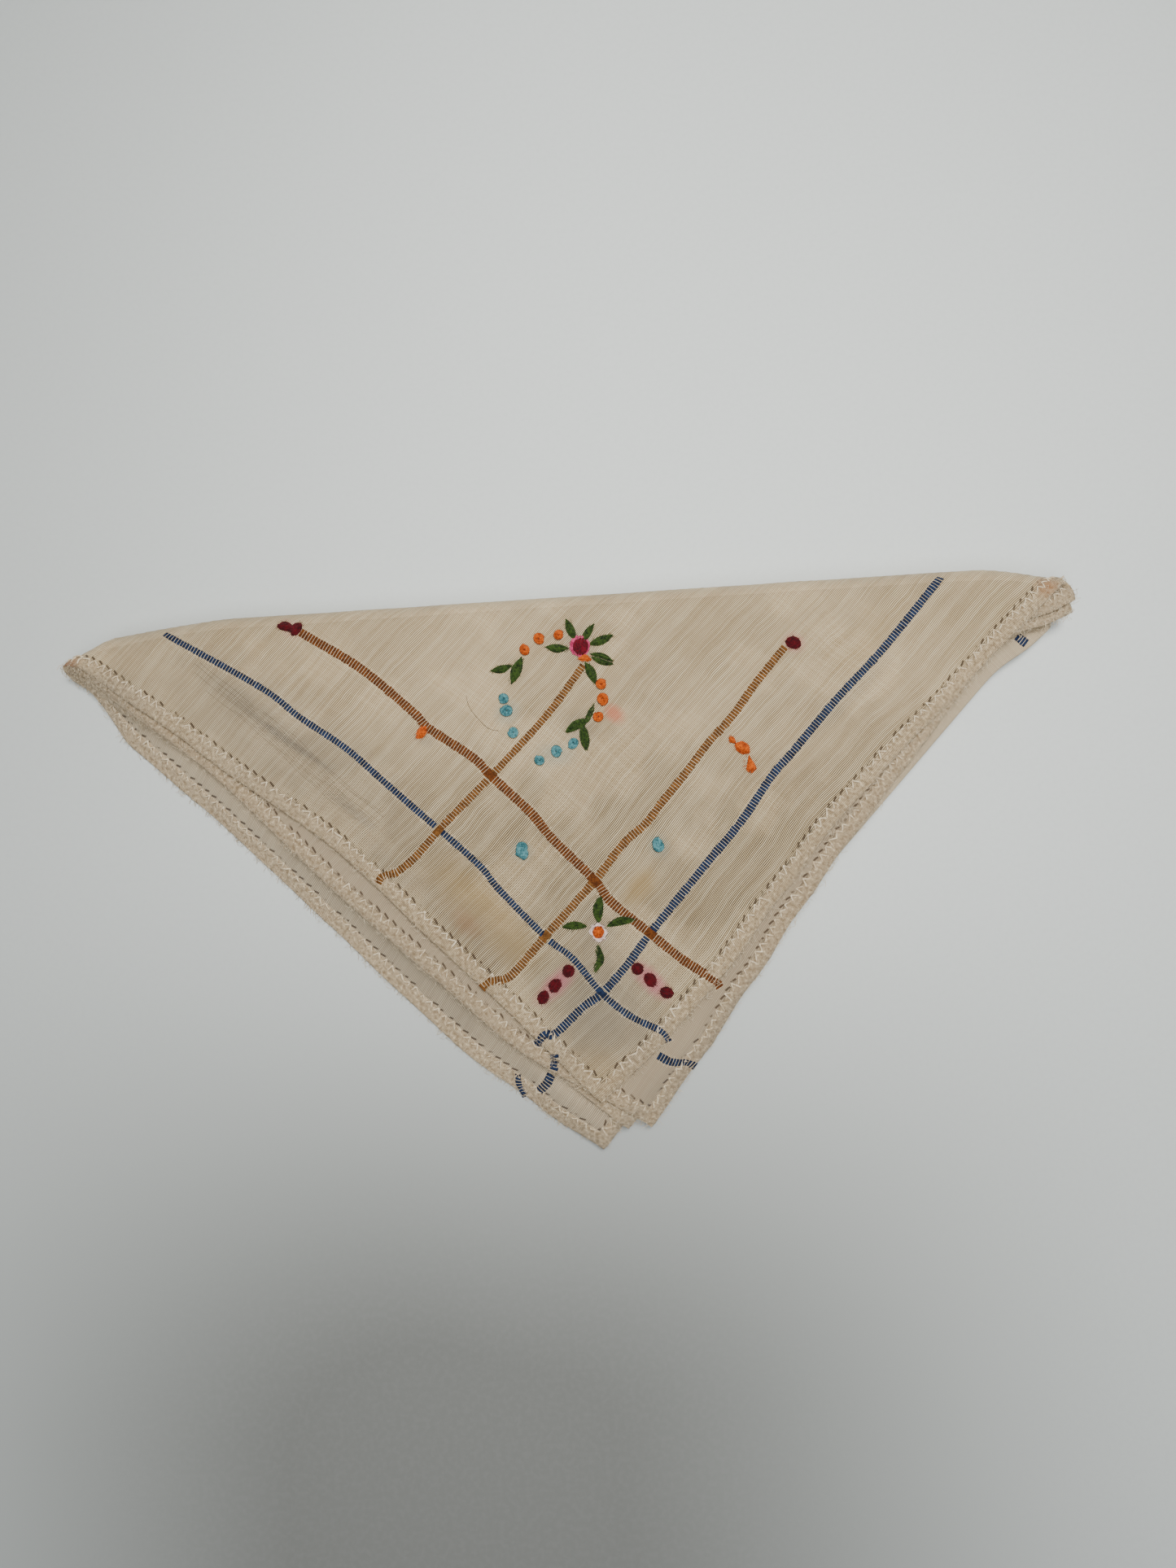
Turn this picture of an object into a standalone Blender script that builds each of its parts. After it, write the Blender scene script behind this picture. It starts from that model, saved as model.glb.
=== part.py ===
"""A square linen handkerchief, folded in four and then across the diagonal.

The cloth is one sheet, with u and v measured from its middle along its sides. It is
folded under along v = 0, then along u = 0, which leaves four quarters on each other,
and last across the diagonal, with the closed corner underneath. That makes eight
layers. All sizes are in metres; x runs along the diagonal fold, the loose corners
point to -y and the lowest layer lies flat on z = 0.
"""
import math
from collections import namedtuple

import bmesh
import bpy
from mathutils import Matrix, Vector
from mathutils.geometry import delaunay_2d_cdt

for leftover in list(bpy.data.objects):
    bpy.data.objects.remove(leftover, do_unlink=True)

CLOTH_SIDE = 0.288
HALF = CLOTH_SIDE / 2
SHEET = 0.0010           # thickness of the sheet
PITCH = 0.0013           # from one layer to the next
HEM_WIDTH = 0.0028
HEM_RISE = 0.0001        # on each face, over the turned edge
FOLD_OFFSET = 0.0055     # the last fold misses the diagonal by this, towards the middle
FACET = 0.011            # spacing of the points on the flat cloth
FOLD_FACETS = 6          # facets round a fold
TIGHT = 0.00001          # points closer than this are one point

# The three folds, each rolled round the layers of the fold before it
QUARTER_FOLD = PITCH / 2
SIDE_FOLD = PITCH
CORNER_FOLD = PITCH * 2

# How far the hems of each quarter lie outside (+) or inside (-) the true square, at a
# quarter, half and three quarters of the way from the tip to the loose corner, and there
Quarter = namedtuple("Quarter", "u_side v_side left right")
QUARTERS = {
    "A": Quarter(+1, +1, (-0.0012, -0.0046, -0.0036, -0.0022), (-0.0034, -0.0018, +0.0013, -0.0004)),
    "B": Quarter(+1, -1, (-0.0012, +0.0004, +0.0006, -0.0014), (-0.0020, -0.0009, +0.0045, +0.0066)),
    "C": Quarter(-1, -1, (-0.0030, -0.0028, -0.0028, -0.0045), (-0.0048, -0.0040, +0.0010, +0.0025)),
    "D": Quarter(-1, +1, (+0.0014, +0.0032, +0.0048, +0.0022), (-0.0060, -0.0052, -0.0002, +0.0022)),
}

# The closed half is pushed out past the right hems by this, near the right tip
CLOSED_PUSH = 0.0040
CLOSED_RAMP = 0.012      # from the corner fold until the full push
CLOSED_DECAY = 0.060     # into the cloth until none of it

# Past the closed half, the loose half comes down to the surface over this width
DROP_WIDTH = 0.0075

# Soft ridges over the layers: ends, half width, and the rise as a share of the height
Ridge = namedtuple("Ridge", "x0 y0 x1 y1 width rise")
RIDGES = (
    Ridge(-0.085, -0.004, -0.030, -0.052, 0.006, 0.10),
    Ridge(-0.060, -0.012, +0.004, -0.075, 0.007, 0.08),
    Ridge(-0.030, -0.060, -0.006, -0.088, 0.006, 0.12),
    Ridge(+0.090, -0.002, +0.042, -0.050, 0.006, 0.10),
    Ridge(+0.030, -0.020, +0.012, -0.080, 0.009, 0.06),
    Ridge(-0.010, -0.006, -0.020, -0.035, 0.010, 0.05),
    Ridge(+0.070, +0.002, +0.020, +0.000, 0.010, 0.06),
)

# Yarn work that stands up from quarter A, in millimetres: along the corner fold from the
# middle, down from that fold, its length and width, and the degrees that it points to
Stitch = namedtuple("Stitch", "along down long wide heading")
KNOT_SIZE = 2.3
FLOWER_SIZE = 4.2
LEAF_LENGTH = 4.6
LEAF_WIDTH = 1.7
YARN_RISE = 0.0008
KNOTS = (
    (-9.5, 5.5), (-6.5, 3.5), (-2.5, 3.0), (5.5, 13.5), (5.5, 16.5), (4.5, 20.0),
    (-1.0, 25.0), (-4.5, 26.5), (-8.0, 28.0), (-13.0, 22.0), (-14.0, 17.5), (-14.5, 15.0),
    (-13.0, 46.0), (15.0, 47.0), (-31.5, 21.0), (33.5, 28.5), (44.5, 7.5),
    (-5.0, 71.0), (-8.0, 74.0), (-10.5, 76.0), (9.0, 71.5), (11.5, 74.0), (14.5, 77.0),
)
FLOWERS = ((1.5, 6.0), (1.5, 63.5))
LEAVES = (
    (0.0, 2.0, 110), (3.5, 3.0, 56), (6.0, 4.5, 18), (6.0, 8.5, -29), (-3.0, 5.5, 173), (3.5, 11.0, -68),
    (-14.5, 9.0, 170), (-11.5, 9.5, -70), (0.0, 21.5, 20), (1.0, 23.5, -50),
    (2.0, 59.0, 85), (-3.0, 62.0, 165), (6.0, 62.5, 10), (1.0, 69.0, -95),
)
STITCHES = ([Stitch(*place, KNOT_SIZE, KNOT_SIZE, 0) for place in KNOTS]
            + [Stitch(*place, FLOWER_SIZE, FLOWER_SIZE, 30) for place in FLOWERS]
            + [Stitch(along, down, LEAF_LENGTH, LEAF_WIDTH, heading) for along, down, heading in LEAVES])


def smooth(share):
    """An S curve from 0 to 1."""
    share = max(0.0, min(1.0, share))
    return share * share * (3 - 2 * share)


def along_hem(offsets, share):
    """The hem's offset at a share of the way from the tip, where it is nil, to the corner."""
    stops = (0.0,) + offsets
    place = max(0.0, min(0.9999, share)) * (len(stops) - 1)
    step = int(place)
    blend = smooth(place - step)
    return stops[step] * (1 - blend) + stops[step + 1] * blend


def fold_over(distance, mid_rise, radius):
    """Turn and flat run of a layer that is rolled round a fold line at distance 0."""
    reach = radius + mid_rise
    turn = max(-math.pi / 2, min(math.pi / 2, distance / reach))
    return turn, abs(distance) - abs(turn) * reach


def quarter_at(u, v):
    """The quarter of the cloth that holds this point."""
    for quarter in QUARTERS.values():
        if (u >= 0) == (quarter.u_side > 0) and (v >= 0) == (quarter.v_side > 0):
            return quarter


def slide(quarter, across, down):
    """How far this point of the folded quarter lies from where a true square has it."""
    past_fold = (across + down - HALF) / math.sqrt(2) + FOLD_OFFSET
    if past_fold >= 0:
        left = past_fold / (max(across, 0.0) / math.sqrt(2) + FOLD_OFFSET)
        right = past_fold / (max(down, 0.0) / math.sqrt(2) + FOLD_OFFSET)
        return (along_hem(quarter.right, down / HALF) * smooth(right),
                along_hem(quarter.left, across / HALF) * smooth(left))
    push = CLOSED_PUSH * smooth(-past_fold / CLOSED_RAMP) * smooth(1 - down / CLOSED_DECAY)
    return 0.0, -push * (0.35 + 0.65 * smooth(across / HALF / 0.45))


def drop(x, y):
    """How far the loose half comes down where the closed half isn't under it."""
    closed_left = HALF / math.sqrt(2) - FOLD_OFFSET + SIDE_FOLD * 1.5 * math.sqrt(2)
    closed_right = HALF / math.sqrt(2) - FOLD_OFFSET + (QUARTER_FOLD + SHEET / 2) * math.sqrt(2)
    push = CLOSED_PUSH * math.sqrt(2) * (0.35 + 0.65 * smooth(x / 0.05))
    beyond_left = (-y - closed_left - x) / math.sqrt(2)
    beyond_right = (-y - closed_right - push + x) / math.sqrt(2)
    beyond = max(beyond_left, beyond_right)
    return (4 * PITCH - 1.5 * HEM_RISE) * smooth(beyond / DROP_WIDTH)


def swell(x, y):
    """Share by which the layers stand higher on the soft ridges."""
    total = 0.0
    for ridge in RIDGES:
        start = Vector((ridge.x0, ridge.y0))
        run = Vector((ridge.x1, ridge.y1)) - start
        way = Vector((x, y)) - start
        share = max(0.0, min(1.0, way.dot(run) / run.length_squared))
        gap = (way - run * share).length
        total += ridge.rise * math.exp(-(gap / ridge.width) ** 2)
    return total


def tip_sag(x):
    """How far the two narrow tips hang back from the straight fold."""
    return 0.0028 * smooth((-x - 0.066) / 0.034) + 0.0008 * smooth((x - 0.070) / 0.034)


def folded(u, v, lift):
    """Where a point of the flat cloth comes to lie, lift above the middle of the sheet."""
    turn, flat = fold_over(v, 0.0, QUARTER_FOLD)
    mid_down = flat - QUARTER_FOLD * math.cos(turn)
    mid_rise = QUARTER_FOLD * math.sin(turn)
    down = mid_down - lift * math.cos(turn)
    rise = mid_rise + lift * math.sin(turn)

    turn, flat = fold_over(u, mid_rise, SIDE_FOLD)
    mid_across = flat - (SIDE_FOLD + mid_rise) * math.cos(turn)
    across = flat - (SIDE_FOLD + rise) * math.cos(turn)
    rise, mid_rise = (SIDE_FOLD + rise) * math.sin(turn), (SIDE_FOLD + mid_rise) * math.sin(turn)

    shift_across, shift_down = slide(quarter_at(u, v), mid_across, mid_down)
    mid_past = (mid_across + shift_across + mid_down + shift_down - HALF) / math.sqrt(2) + FOLD_OFFSET
    past = (across + shift_across + down + shift_down - HALF) / math.sqrt(2) + FOLD_OFFSET
    x = (across + shift_across - down - shift_down) / math.sqrt(2)

    turn, flat = fold_over(mid_past, mid_rise, CORNER_FOLD)
    arm = CORNER_FOLD + rise
    y = arm * math.cos(turn) - flat - (past - mid_past) * math.sin(turn) - tip_sag(x)
    z = arm * math.sin(turn) + (past - mid_past) * math.cos(turn) + CORNER_FOLD * 2 - QUARTER_FOLD + SHEET / 2
    if turn > 0:
        z -= drop(x, y) * math.sin(turn)
    return Vector((x, y, z * (1 + swell(x, y))))


def flat_place(x, y):
    """The flat point of quarter A that is folded to this place on top."""
    u = v = HALF / 2
    for _ in range(12):
        top = folded(u, v, SHEET / 2)
        u += (x - top.x - y + top.y) / math.sqrt(2)
        v += (top.x - x - y + top.y) / math.sqrt(2)
    return Vector((u, v))


def stitch_points(stitch):
    """A ring round the raised yarn, and a smaller one on its top."""
    middle = Vector((stitch.along, -stitch.down)) / 1000
    heading = Matrix.Rotation(math.radians(stitch.heading), 2)
    rings = []
    for count, share in ((6, 1.0), (4, 0.45)):
        ring = []
        for step in range(count):
            turn = 2 * math.pi * step / count
            reach = Vector((stitch.long * math.cos(turn), stitch.wide * math.sin(turn))) * share / 2000
            ring.append(flat_place(*(middle + heading @ reach)))
        rings.append(ring)
    return rings


def line_of_points(start, end, spacing, points, edges):
    """Adds evenly spaced points from start to end, joined by edges."""
    start, end = Vector(start), Vector(end)
    steps = max(1, round((end - start).length / spacing))
    for step in range(steps + 1):
        points.append(start.lerp(end, step / steps))
        if step:
            edges.append((len(points) - 2, len(points) - 1))


def fold_lines(radius):
    """Distances from the fold line at which a layer with this radius is facetted."""
    reach = radius * math.pi / 2
    return [reach * (2 * step / FOLD_FACETS - 1) for step in range(FOLD_FACETS + 1)]


def corner_fold_lines(quarter, points, edges):
    """Lines along the corner fold, from one side of the cloth to the other."""
    rise = QUARTER_FOLD * quarter.v_side
    side_reach = SIDE_FOLD + rise
    radius = CORNER_FOLD + side_reach * quarter.u_side
    lost = (side_reach + QUARTER_FOLD) * math.pi / 2
    for distance in fold_lines(radius):
        total = HALF + (distance - FOLD_OFFSET) * math.sqrt(2) + lost
        high, low = min(total, HALF), max(total - HALF, 0.0)
        line_of_points((high * quarter.u_side, low * quarter.v_side),
                       (low * quarter.u_side, high * quarter.v_side), FACET, points, edges)


def flat_cloth(raised):
    """Points and edges of the flat cloth: hems, folds, yarn, and a loose net between them."""
    points, edges = list(raised), []
    for inset in (0.0, HEM_WIDTH, HEM_WIDTH + 0.0006, 0.0065, 0.0105, 0.0150):
        reach = HALF - inset
        corners = [(-reach, -reach), (reach, -reach), (reach, reach), (-reach, reach)]
        for start, end in zip(corners, corners[1:] + corners[:1]):
            line_of_points(start, end, FACET, points, edges)
    for v in fold_lines(QUARTER_FOLD):
        line_of_points((-HALF, v), (HALF, v), FACET, points, edges)
    for u in fold_lines(SIDE_FOLD + QUARTER_FOLD):
        line_of_points((u, 0.0), (u, HALF), FACET, points, edges)
    for u in fold_lines(SIDE_FOLD - QUARTER_FOLD):
        line_of_points((u, -HALF), (u, 0.0), FACET, points, edges)
    for quarter in QUARTERS.values():
        corner_fold_lines(quarter, points, edges)
    rows = round((CLOTH_SIDE - 0.036) / FACET)
    for row in range(rows + 1):
        for column in range(rows + 1):
            u = -HALF + 0.018 + (CLOTH_SIDE - 0.036) * column / rows
            v = -HALF + 0.018 + (CLOTH_SIDE - 0.036) * row / rows
            diagonal = abs(abs(u) + abs(v) - HALF) / math.sqrt(2)
            clear = all((Vector((u, v)) - place).length > 0.004 for place in raised)
            if min(abs(u), abs(v)) > FACET / 3 and diagonal > 0.009 and clear:
                points.append(Vector((u, v)))
    return points, edges


rims, tops = [], []
for stitch in STITCHES:
    rim, top = stitch_points(stitch)
    rims += rim
    tops += top
points, edges = flat_cloth(rims + tops)
found = delaunay_2d_cdt(points, edges, [], 0, TIGHT)

sheet_mesh = bpy.data.meshes.new("handkerchief")
sheet_mesh.from_pydata([(p.x, p.y, 0.0) for p in found[0]], [], found[2])
cloth = bpy.data.objects.new("handkerchief", sheet_mesh)

collection = bpy.data.collections.new("linen_handkerchief")
bpy.context.scene.collection.children.link(collection)
collection.objects.link(cloth)

thicken = cloth.modifiers.new("sheet", "SOLIDIFY")
thicken.thickness = SHEET
thicken.offset = 0.0
solid = bpy.data.meshes.new_from_object(cloth.evaluated_get(bpy.context.evaluated_depsgraph_get()))
cloth.modifiers.clear()
cloth.data = solid
bpy.data.meshes.remove(sheet_mesh)

for vertex in solid.vertices:
    u, v, lift = vertex.co
    if max(abs(u), abs(v)) > HALF - HEM_WIDTH - TIGHT:
        lift += math.copysign(HEM_RISE, lift)
    if lift > 0 and any((Vector((u, v)) - top).length < TIGHT for top in tops):
        lift += YARN_RISE
    vertex.co = folded(u, v, lift)

low = Vector((min(v.co[axis] for v in solid.vertices) for axis in range(3)))
high = Vector((max(v.co[axis] for v in solid.vertices) for axis in range(3)))
for vertex in solid.vertices:
    vertex.co -= Vector(((low.x + high.x) / 2, (low.y + high.y) / 2, 0.0))
solid.flip_normals()     # u and v run clockwise in the folded view
solid.shade_smooth()
solid.set_sharp_from_angle(angle=math.radians(50))

linen = bpy.data.materials.new("linen")
linen.use_nodes = True
surface = linen.node_tree.nodes["Principled BSDF"]
surface.inputs["Base Color"].default_value = (0.62, 0.53, 0.41, 1.0)
surface.inputs["Roughness"].default_value = 0.92
surface.inputs["Metallic"].default_value = 0.0
solid.materials.append(linen)
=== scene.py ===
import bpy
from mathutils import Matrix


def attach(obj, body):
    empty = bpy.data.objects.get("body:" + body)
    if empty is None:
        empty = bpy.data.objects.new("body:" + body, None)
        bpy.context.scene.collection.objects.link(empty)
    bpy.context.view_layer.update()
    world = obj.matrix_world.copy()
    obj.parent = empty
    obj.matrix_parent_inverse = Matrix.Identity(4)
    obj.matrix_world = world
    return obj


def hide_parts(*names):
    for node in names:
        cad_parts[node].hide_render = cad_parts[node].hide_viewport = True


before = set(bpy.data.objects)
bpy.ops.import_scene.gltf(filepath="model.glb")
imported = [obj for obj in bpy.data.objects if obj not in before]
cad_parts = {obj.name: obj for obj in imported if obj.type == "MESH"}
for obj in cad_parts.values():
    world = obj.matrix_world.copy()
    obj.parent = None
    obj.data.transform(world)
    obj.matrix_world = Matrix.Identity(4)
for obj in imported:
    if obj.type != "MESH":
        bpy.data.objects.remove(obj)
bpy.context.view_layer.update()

import math
from collections import namedtuple

import bpy
import numpy as np
from mathutils import Matrix, Vector
from mathutils.bvhtree import BVHTree

# The linen cloth
# One square of fine, sheer linen, folded in four and then across its diagonal. Its four
# edges are turned over and hemmed, so the cloth is thicker there.
CLOTH_SIDE = 0.288
HALF = CLOTH_SIDE / 2
CLOTH_THICKNESS = 0.00038
HEM_THICKNESS = 0.00065
HEM_WIDTH = 0.0028
LAYER_PITCH = 0.0013
FOLD_OFFSET = 0.0055
GRID_PITCH = 0.00155
HEM_STITCH_PITCH = 0.0020
QUARTER_FOLD = LAYER_PITCH / 2
SIDE_FOLD = LAYER_PITCH
CORNER_FOLD = LAYER_PITCH * 2

Quarter = namedtuple("Quarter", "u_side v_side left right")
QUARTERS = {
    "A": Quarter(+1, +1, (-0.0016, -0.0048, -0.0040, -0.0026),
                 (+0.0006, +0.0002, -0.0010, -0.0014, -0.0002, +0.0012, +0.0010, -0.0004)),
    "B": Quarter(+1, -1, (-0.0012, +0.0002, -0.0004, -0.0062),
                 (-0.0044, -0.0024, -0.0014, -0.0006, +0.0010, +0.0032, +0.0056, +0.0072)),
    "C": Quarter(-1, -1, (-0.0030, -0.0028, -0.0028, -0.0045),
                 (-0.0046, -0.0048, -0.0044, -0.0040, -0.0015, +0.0010, +0.0018, +0.0025)),
    "D": Quarter(-1, +1, (+0.0022, +0.0028, +0.0034, +0.0038, +0.0044, +0.0046, +0.0028, +0.0002),
                 (-0.0048, -0.0060, -0.0056, -0.0052, -0.0027, -0.0002, +0.0010, +0.0022)),
}
CLOSED_PUSH = 0.0038
CLOSED_TIP_PUSH = 0.0010
CLOSED_RAMP = 0.012
CLOSED_TIP_RAMP = 0.0035
CLOSED_DECAY = 0.060
DROP_PUSH = 0.0040
DROP_WIDTH = 0.0075
TABLE_GAP = 0.00002

# The ends of the long fold sag, and the left one is drawn together to a point
Sag = namedtuple("Sag", "side start length fall")
SAGS = (Sag(-1, 0.066, 0.034, 0.0028), Sag(+1, 0.082, 0.020, 0.0030), Sag(+1, 0.098, 0.007, 0.0016))
TIP_PLACE = -0.0050
TIP_START = 0.091
TIP_LENGTH = 0.011
TIP_DRAWN = 0.58

Ridge = namedtuple("Ridge", "x0 y0 x1 y1 width rise")
RIDGES = (
    Ridge(-0.085, -0.004, -0.030, -0.052, 0.006, 0.10),
    Ridge(-0.060, -0.012, +0.004, -0.075, 0.007, 0.08),
    Ridge(-0.030, -0.060, -0.006, -0.088, 0.006, 0.12),
    Ridge(+0.090, -0.002, +0.042, -0.050, 0.006, 0.10),
    Ridge(+0.030, -0.020, +0.012, -0.080, 0.009, 0.06),
    Ridge(-0.010, -0.006, -0.020, -0.035, 0.010, 0.05),
    Ridge(+0.070, +0.002, +0.020, +0.000, 0.010, 0.06),
)


def smooth(share):
    share = np.clip(share, 0.0, 1.0)
    return share * share * (3 - 2 * share)


def along_hem(offsets, share):
    stops = np.array((0.0,) + offsets)
    place = np.clip(share, 0.0, 0.9999) * (len(stops) - 1)
    step = place.astype(int)
    blend = smooth(place - step)
    return stops[step] * (1 - blend) + stops[step + 1] * blend


def fold_over(distance, mid_rise, radius):
    reach = radius + mid_rise
    turn = np.clip(distance / reach, -math.pi / 2, math.pi / 2)
    return turn, np.abs(distance) - np.abs(turn) * reach


def slide(u, v, across, down):
    past_fold = (across + down - HALF) / math.sqrt(2) + FOLD_OFFSET
    left = smooth(past_fold / (np.maximum(across, 0.0) / math.sqrt(2) + FOLD_OFFSET))
    right = smooth(past_fold / (np.maximum(down, 0.0) / math.sqrt(2) + FOLD_OFFSET))
    shift_across = np.zeros_like(u)
    shift_down = np.zeros_like(u)
    for quarter in QUARTERS.values():
        mine = ((u >= 0) == (quarter.u_side > 0)) & ((v >= 0) == (quarter.v_side > 0))
        shift_across += mine * along_hem(quarter.right, down / HALF) * right
        shift_down += mine * along_hem(quarter.left, across / HALF) * left
    share = across / HALF
    push = CLOSED_PUSH * (0.35 + 0.65 * smooth(share / 0.45))
    push += CLOSED_TIP_PUSH * smooth((share - 0.80) / 0.08)
    ramp = CLOSED_RAMP + (CLOSED_TIP_RAMP - CLOSED_RAMP) * smooth((share - 0.72) / 0.14)
    shift_down -= push * smooth(-past_fold / ramp) * smooth(1 - down / CLOSED_DECAY)
    return shift_across, shift_down


def drop(x, y):
    closed_left = HALF / math.sqrt(2) - FOLD_OFFSET + SIDE_FOLD * 1.5 * math.sqrt(2)
    closed_right = HALF / math.sqrt(2) - FOLD_OFFSET + (QUARTER_FOLD + 0.0005) * math.sqrt(2)
    push = DROP_PUSH * math.sqrt(2) * (0.35 + 0.65 * smooth(x / 0.05))
    beyond_left = (-y - closed_left - x) / math.sqrt(2)
    beyond_right = (-y - closed_right - push + x) / math.sqrt(2)
    return (4 * LAYER_PITCH - 0.0004) * smooth(np.maximum(beyond_left, beyond_right) / DROP_WIDTH)


def swell(x, y):
    total = np.zeros_like(x)
    for ridge in RIDGES:
        run = np.array((ridge.x1 - ridge.x0, ridge.y1 - ridge.y0))
        share = np.clip(((x - ridge.x0) * run[0] + (y - ridge.y0) * run[1]) / (run @ run), 0.0, 1.0)
        gap = np.hypot(x - ridge.x0 - run[0] * share, y - ridge.y0 - run[1] * share)
        total += ridge.rise * np.exp(-((gap / ridge.width) ** 2))
    return total


# Small waves over the whole stack: the way each runs in degrees, its length and its rise
Wave = namedtuple("Wave", "heading length rise")
WAVES = (
    Wave(38, 0.0170, 0.010), Wave(-47, 0.0230, 0.012), Wave(8, 0.0310, 0.010),
    Wave(61, 0.0110, 0.006), Wave(-22, 0.0135, 0.006), Wave(-71, 0.0080, 0.004),
)


def ripple(x, y):
    total = np.zeros_like(x)
    for step, wave in enumerate(WAVES):
        way = x * math.cos(math.radians(wave.heading)) + y * math.sin(math.radians(wave.heading))
        cross = y * math.cos(math.radians(wave.heading)) - x * math.sin(math.radians(wave.heading))
        bend = 0.9 * np.sin(cross * 2.1 / wave.length + step)
        total += wave.rise * np.sin(way * 2 * math.pi / wave.length + bend + 1.7 * step)
    return total


def drawn_tips(x, y):
    for sag in SAGS:
        y = y - sag.fall * smooth((sag.side * x - sag.start) / sag.length)
    return TIP_PLACE + (y - TIP_PLACE) * (1 - TIP_DRAWN * smooth((-x - TIP_START) / TIP_LENGTH))


def folded(u, v, lift):
    """Where points of the flat cloth come to lie, lift above the middle of the cloth."""
    u, v, lift = (np.asarray(each, float) for each in (u, v, lift))
    turn, flat = fold_over(v, 0.0, QUARTER_FOLD)
    mid_down = flat - QUARTER_FOLD * np.cos(turn)
    mid_rise = QUARTER_FOLD * np.sin(turn)
    down = mid_down - lift * np.cos(turn)
    rise = mid_rise + lift * np.sin(turn)

    turn, flat = fold_over(u, mid_rise, SIDE_FOLD)
    mid_across = flat - (SIDE_FOLD + mid_rise) * np.cos(turn)
    across = flat - (SIDE_FOLD + rise) * np.cos(turn)
    rise, mid_rise = (SIDE_FOLD + rise) * np.sin(turn), (SIDE_FOLD + mid_rise) * np.sin(turn)

    shift_across, shift_down = slide(u, v, mid_across, mid_down)
    mid_past = (mid_across + shift_across + mid_down + shift_down - HALF) / math.sqrt(2) + FOLD_OFFSET
    past = (across + shift_across + down + shift_down - HALF) / math.sqrt(2) + FOLD_OFFSET
    x = (across + shift_across - down - shift_down) / math.sqrt(2)

    turn, flat = fold_over(mid_past, mid_rise, CORNER_FOLD)
    y = (CORNER_FOLD + rise) * np.cos(turn) - flat - (past - mid_past) * np.sin(turn)
    y = drawn_tips(x, y)
    z = (CORNER_FOLD + rise) * np.sin(turn) + (past - mid_past) * np.cos(turn)
    z += CORNER_FOLD * 2 - QUARTER_FOLD + CLOTH_THICKNESS / 2
    z -= np.where(turn > 0, drop(x, y) * np.sin(turn), 0.0)
    z *= 1 + swell(x, y) + ripple(x, y)
    z = np.maximum(z, TABLE_GAP)
    return np.stack((x, y, z), axis=-1) + origin_shift


def grid_lines():
    """Where the cloth's grid runs: close at the hems and the folds, even between them."""
    near_fold = [0.00034, 0.00068, 0.00102, 0.0015, 0.0020, 0.0025, 0.00306]
    near_hem = [HALF - inset for inset in (0.0045, 0.0034, 0.0029, 0.0024, 0.0016, 0.0008, 0.0003, 0.0)]
    count = round((near_hem[0] - near_fold[-1]) / GRID_PITCH)
    between = list(np.linspace(near_fold[-1], near_hem[0], count + 1)[1:-1])
    side = near_fold + between + near_hem
    return np.array([-place for place in reversed(side)] + [0.0] + side)


def half_thickness(u, v):
    """Half the cloth's thickness: the turned hem swells and is drawn in at each stitch."""
    inset = HALF - np.maximum(np.abs(u), np.abs(v))
    along = np.where(np.abs(u) > np.abs(v), v, u)
    round_hem = np.sqrt(np.clip(1 - ((inset - HEM_WIDTH / 2) / (HEM_WIDTH / 2)) ** 2, 0.0, 1.0))
    drawn = 0.82 + 0.18 * np.cos(along * 2 * math.pi / HEM_STITCH_PITCH)
    return CLOTH_THICKNESS / 2 + (HEM_THICKNESS - CLOTH_THICKNESS) / 2 * round_hem * drawn


def lay_flat_map(mesh, u, v):
    """A UV map that says where each corner lies on the flat cloth."""
    corners = np.empty(len(mesh.loops), dtype=np.int32)
    mesh.loops.foreach_get("vertex_index", corners)
    flat = np.stack((u, v), axis=1) / CLOTH_SIDE + 0.5
    mesh.uv_layers.new(name="flat cloth").data.foreach_set("uv", flat[corners].ravel())
    mesh.shade_smooth()


def cloth_mesh(name):
    lines = grid_lines()
    count = len(lines)
    u, v = (each.ravel() for each in np.meshgrid(lines, lines, indexing="ij"))
    thick = half_thickness(u, v)
    places = np.concatenate((folded(u, v, thick), folded(u, v, -thick)))
    index = np.arange(count * count).reshape(count, count)
    a, b, c, d = (part.ravel() for part in (index[:-1, :-1], index[1:, :-1], index[1:, 1:], index[:-1, 1:]))
    upper = np.stack((a, d, c, b), axis=1)
    lower = np.stack((a, b, c, d), axis=1) + count * count
    rim = np.concatenate((index[:-1, 0], index[-1, :-1], index[:0:-1, -1], index[0, :0:-1]))
    after = np.roll(rim, -1)
    edge = np.stack((rim, after, after + count * count, rim + count * count), axis=1)
    faces = np.concatenate((upper, lower, edge))
    mesh = bpy.data.meshes.new(name)
    mesh.from_pydata(places.tolist(), [], faces.tolist())
    lay_flat_map(mesh, np.tile(u, 2), np.tile(v, 2))
    return mesh


# The folded cloth is moved so that its middle is at the origin
origin_shift = np.zeros(3)
outline = folded(*(each.ravel() for each in np.meshgrid(grid_lines(), grid_lines())), 0.0)
middle = (outline.min(axis=0) + outline.max(axis=0)) / 2
origin_shift = np.array((-middle[0], -middle[1], 0.0))

cloth = bpy.data.objects.new("linen_cloth", cloth_mesh("linen_cloth"))
bpy.context.collection.objects.link(cloth)

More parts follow.
